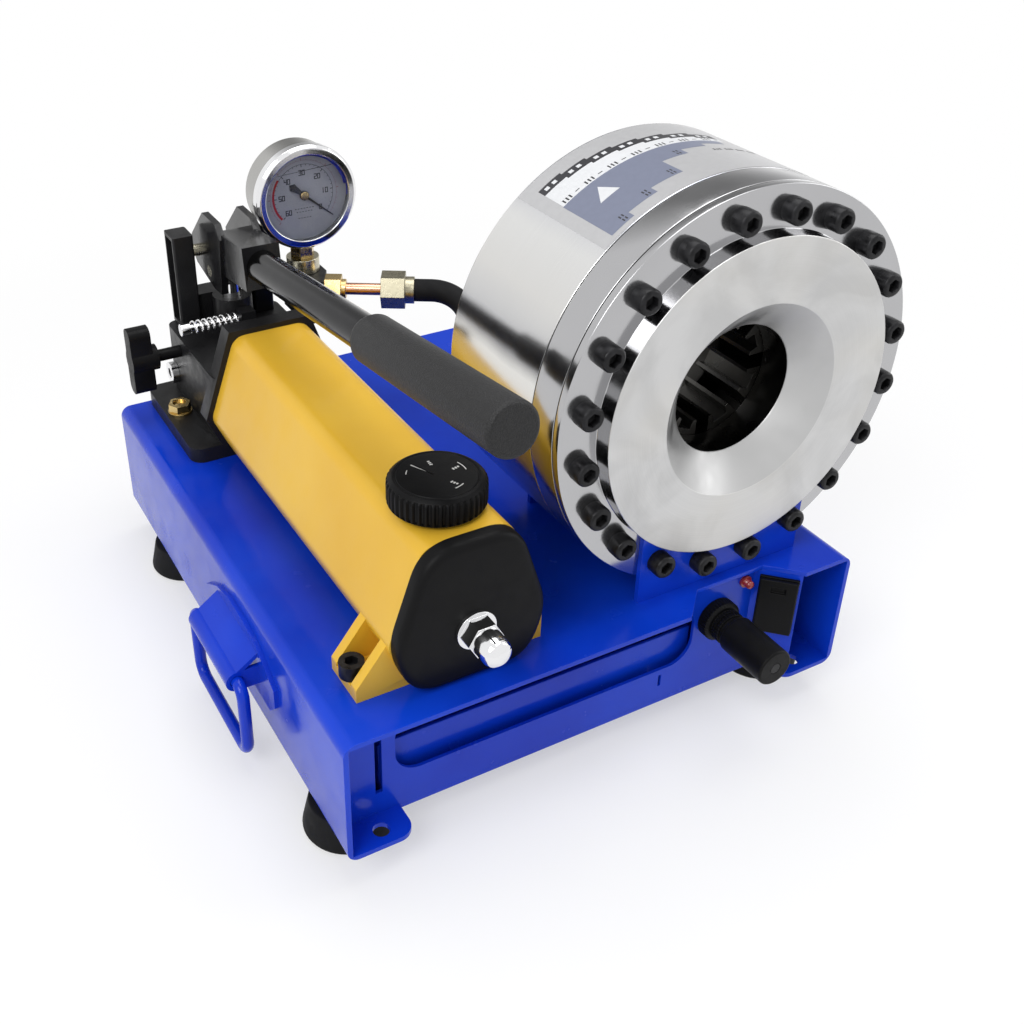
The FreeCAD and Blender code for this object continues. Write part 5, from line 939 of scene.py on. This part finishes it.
softened("outlet_block", "frame", black_cast, 0.6)
softened("gauge_adapter", "frame", zinc, 0.5)
softened("outlet_nut", "frame", brass, 0.5)
softened("outlet_tube", "frame", copper, 0.0)
softened("hose_nut", "frame", nut_zinc, 0.6)
softened("hydraulic_hose", "frame", rubber, 0.0)
softened("port_fitting", "frame", zinc, 0.5)
softened("gauge_case", "frame", case_steel, 0.0)
softened("gauge_bezel", "frame", chrome, 0.6)
softened("gauge_dial", "frame", dial_white, 0.0)
softened("gauge_needle", "gauge_needle", ink_black, 0.0)
softened("gauge_lens", "frame", window_glass, 0.0)
dial_print()
gauge_gasket()
needle_boss()
gauge_collar()


# floor, light and camera

def white_rays(tree):
    """1 for camera, glossy and transmission rays, and 0 for the rest."""
    path = tree.nodes.new("ShaderNodeLightPath").outputs
    straight = calculated(tree, "MAXIMUM", path["Is Camera Ray"], path["Is Glossy Ray"])
    return calculated(tree, "MAXIMUM", straight, path["Is Transmission Ray"])


def floor():
    """A wide pale sheet that catches the shadow and turns white away from the machine."""
    mesh = bpy.data.meshes.new("floor")
    reach = 6.0
    corners = [(-reach, -reach, 0), (reach, -reach, 0), (reach, reach, 0), (-reach, reach, 0)]
    mesh.from_pydata(corners, [], [(0, 1, 2, 3)])
    obj = bpy.data.objects.new("floor", mesh)
    bpy.context.scene.collection.objects.link(obj)
    paper = Finish("paper_floor", (0.92, 0.92, 0.925), 0.9, Specular_IOR_Level=0.1)
    shine = paper.node("Emission", Strength=1.0)
    mix = paper.node("MixShader")
    away = paper.node("VectorMath", operation="LENGTH")
    paper.links.new(paper.place, away.inputs[0])
    near, far, half_white = 0.3, 0.75, 0.5
    share = rescaled(paper.tree, away.outputs["Value"], near, far, half_white, 1.0)
    white = calculated(paper.tree, "MULTIPLY", white_rays(paper.tree), share)
    paper.links.new(white, mix.inputs["Fac"])
    paper.links.new(paper.shader.outputs["BSDF"], mix.inputs[1])
    paper.links.new(shine.outputs["Emission"], mix.inputs[2])
    output = paper.tree.nodes["Material Output"]
    paper.links.new(mix.outputs["Shader"], output.inputs["Surface"])
    mesh.materials.append(paper.material)


def dark_patch(tree):
    """A darker patch of the room, high behind the machine on the right, seen by shiny surfaces."""
    towards = tree.nodes.new("ShaderNodeVectorMath")
    towards.operation = "DOT_PRODUCT"
    towards.inputs[1].default_value = (0.41, 0.75, 0.52)
    place = tree.nodes.new("ShaderNodeTexCoord").outputs["Generated"]
    tree.links.new(place, towards.inputs[0])
    edge, core, darker = 0.8, 0.99, 0.7     # cosines of the patch's edge and core, and its depth
    share = rescaled(tree, towards.outputs["Value"], edge, core, 0.0, darker)
    glossy = tree.nodes.new("ShaderNodeLightPath").outputs["Is Glossy Ray"]
    return calculated(tree, "MULTIPLY", share, glossy)


def studio():
    """White surroundings that light the machine only a little, and soft lamps."""
    world = bpy.data.worlds.new("studio")
    bpy.context.scene.world = world
    world.use_nodes = True
    tree = world.node_tree
    lighting, shown = 0.45, 0.55    # what lights the machine, and what is added where it is seen
    strength = calculated(tree, "MULTIPLY", white_rays(tree), shown)
    strength = calculated(tree, "ADD", strength, lighting)
    strength = calculated(tree, "SUBTRACT", strength, dark_patch(tree))
    tree.links.new(strength, tree.nodes["Background"].inputs["Strength"])
    tree.nodes["Background"].inputs["Color"].default_value = (1, 1, 1, 1)
    lamps = (("key", (-1.25, -0.75, 1.4), 1.0, 17.0), ("top", (0.25, 0.1, 1.7), 1.2, 14.0),
             ("right", (1.5, -0.5, 0.8), 0.9, 5.0))
    aimed_at = Vector((0, 0, 0.12))
    for name, place, size, power in lamps:
        data = bpy.data.lights.new(name, "AREA")
        data.size = size
        data.energy = power
        lamp = bpy.data.objects.new(name, data)
        turn = (aimed_at - Vector(place)).to_track_quat("-Z", "Y").to_matrix().to_4x4()
        lamp.matrix_world = Matrix.Translation(place) @ turn
        bpy.context.scene.collection.objects.link(lamp)


def camera():
    """The photograph's viewpoint, fitted to the base, the head and the pump."""
    data = bpy.data.cameras.new("camera")
    obj = bpy.data.objects.new("camera", data)
    bpy.context.scene.collection.objects.link(obj)
    data.sensor_width = 36.0
    data.lens = 43.70
    data.shift_x = 0.0696
    data.shift_y = -0.0703
    data.clip_start = 0.01
    right = Vector((0.87836, -0.47798, 0.00372))
    down = Vector((-0.24603, -0.45876, -0.85382))
    ahead = Vector((0.40981, 0.74905, -0.52056))
    turn = Matrix((right, -down, -ahead)).transposed().to_4x4()
    obj.matrix_world = Matrix.Translation((-0.3217, -0.5716, 0.5239)) @ turn
    bpy.context.scene.camera = obj


floor()
studio()
camera()
bpy.context.scene.view_settings.view_transform = "Standard"
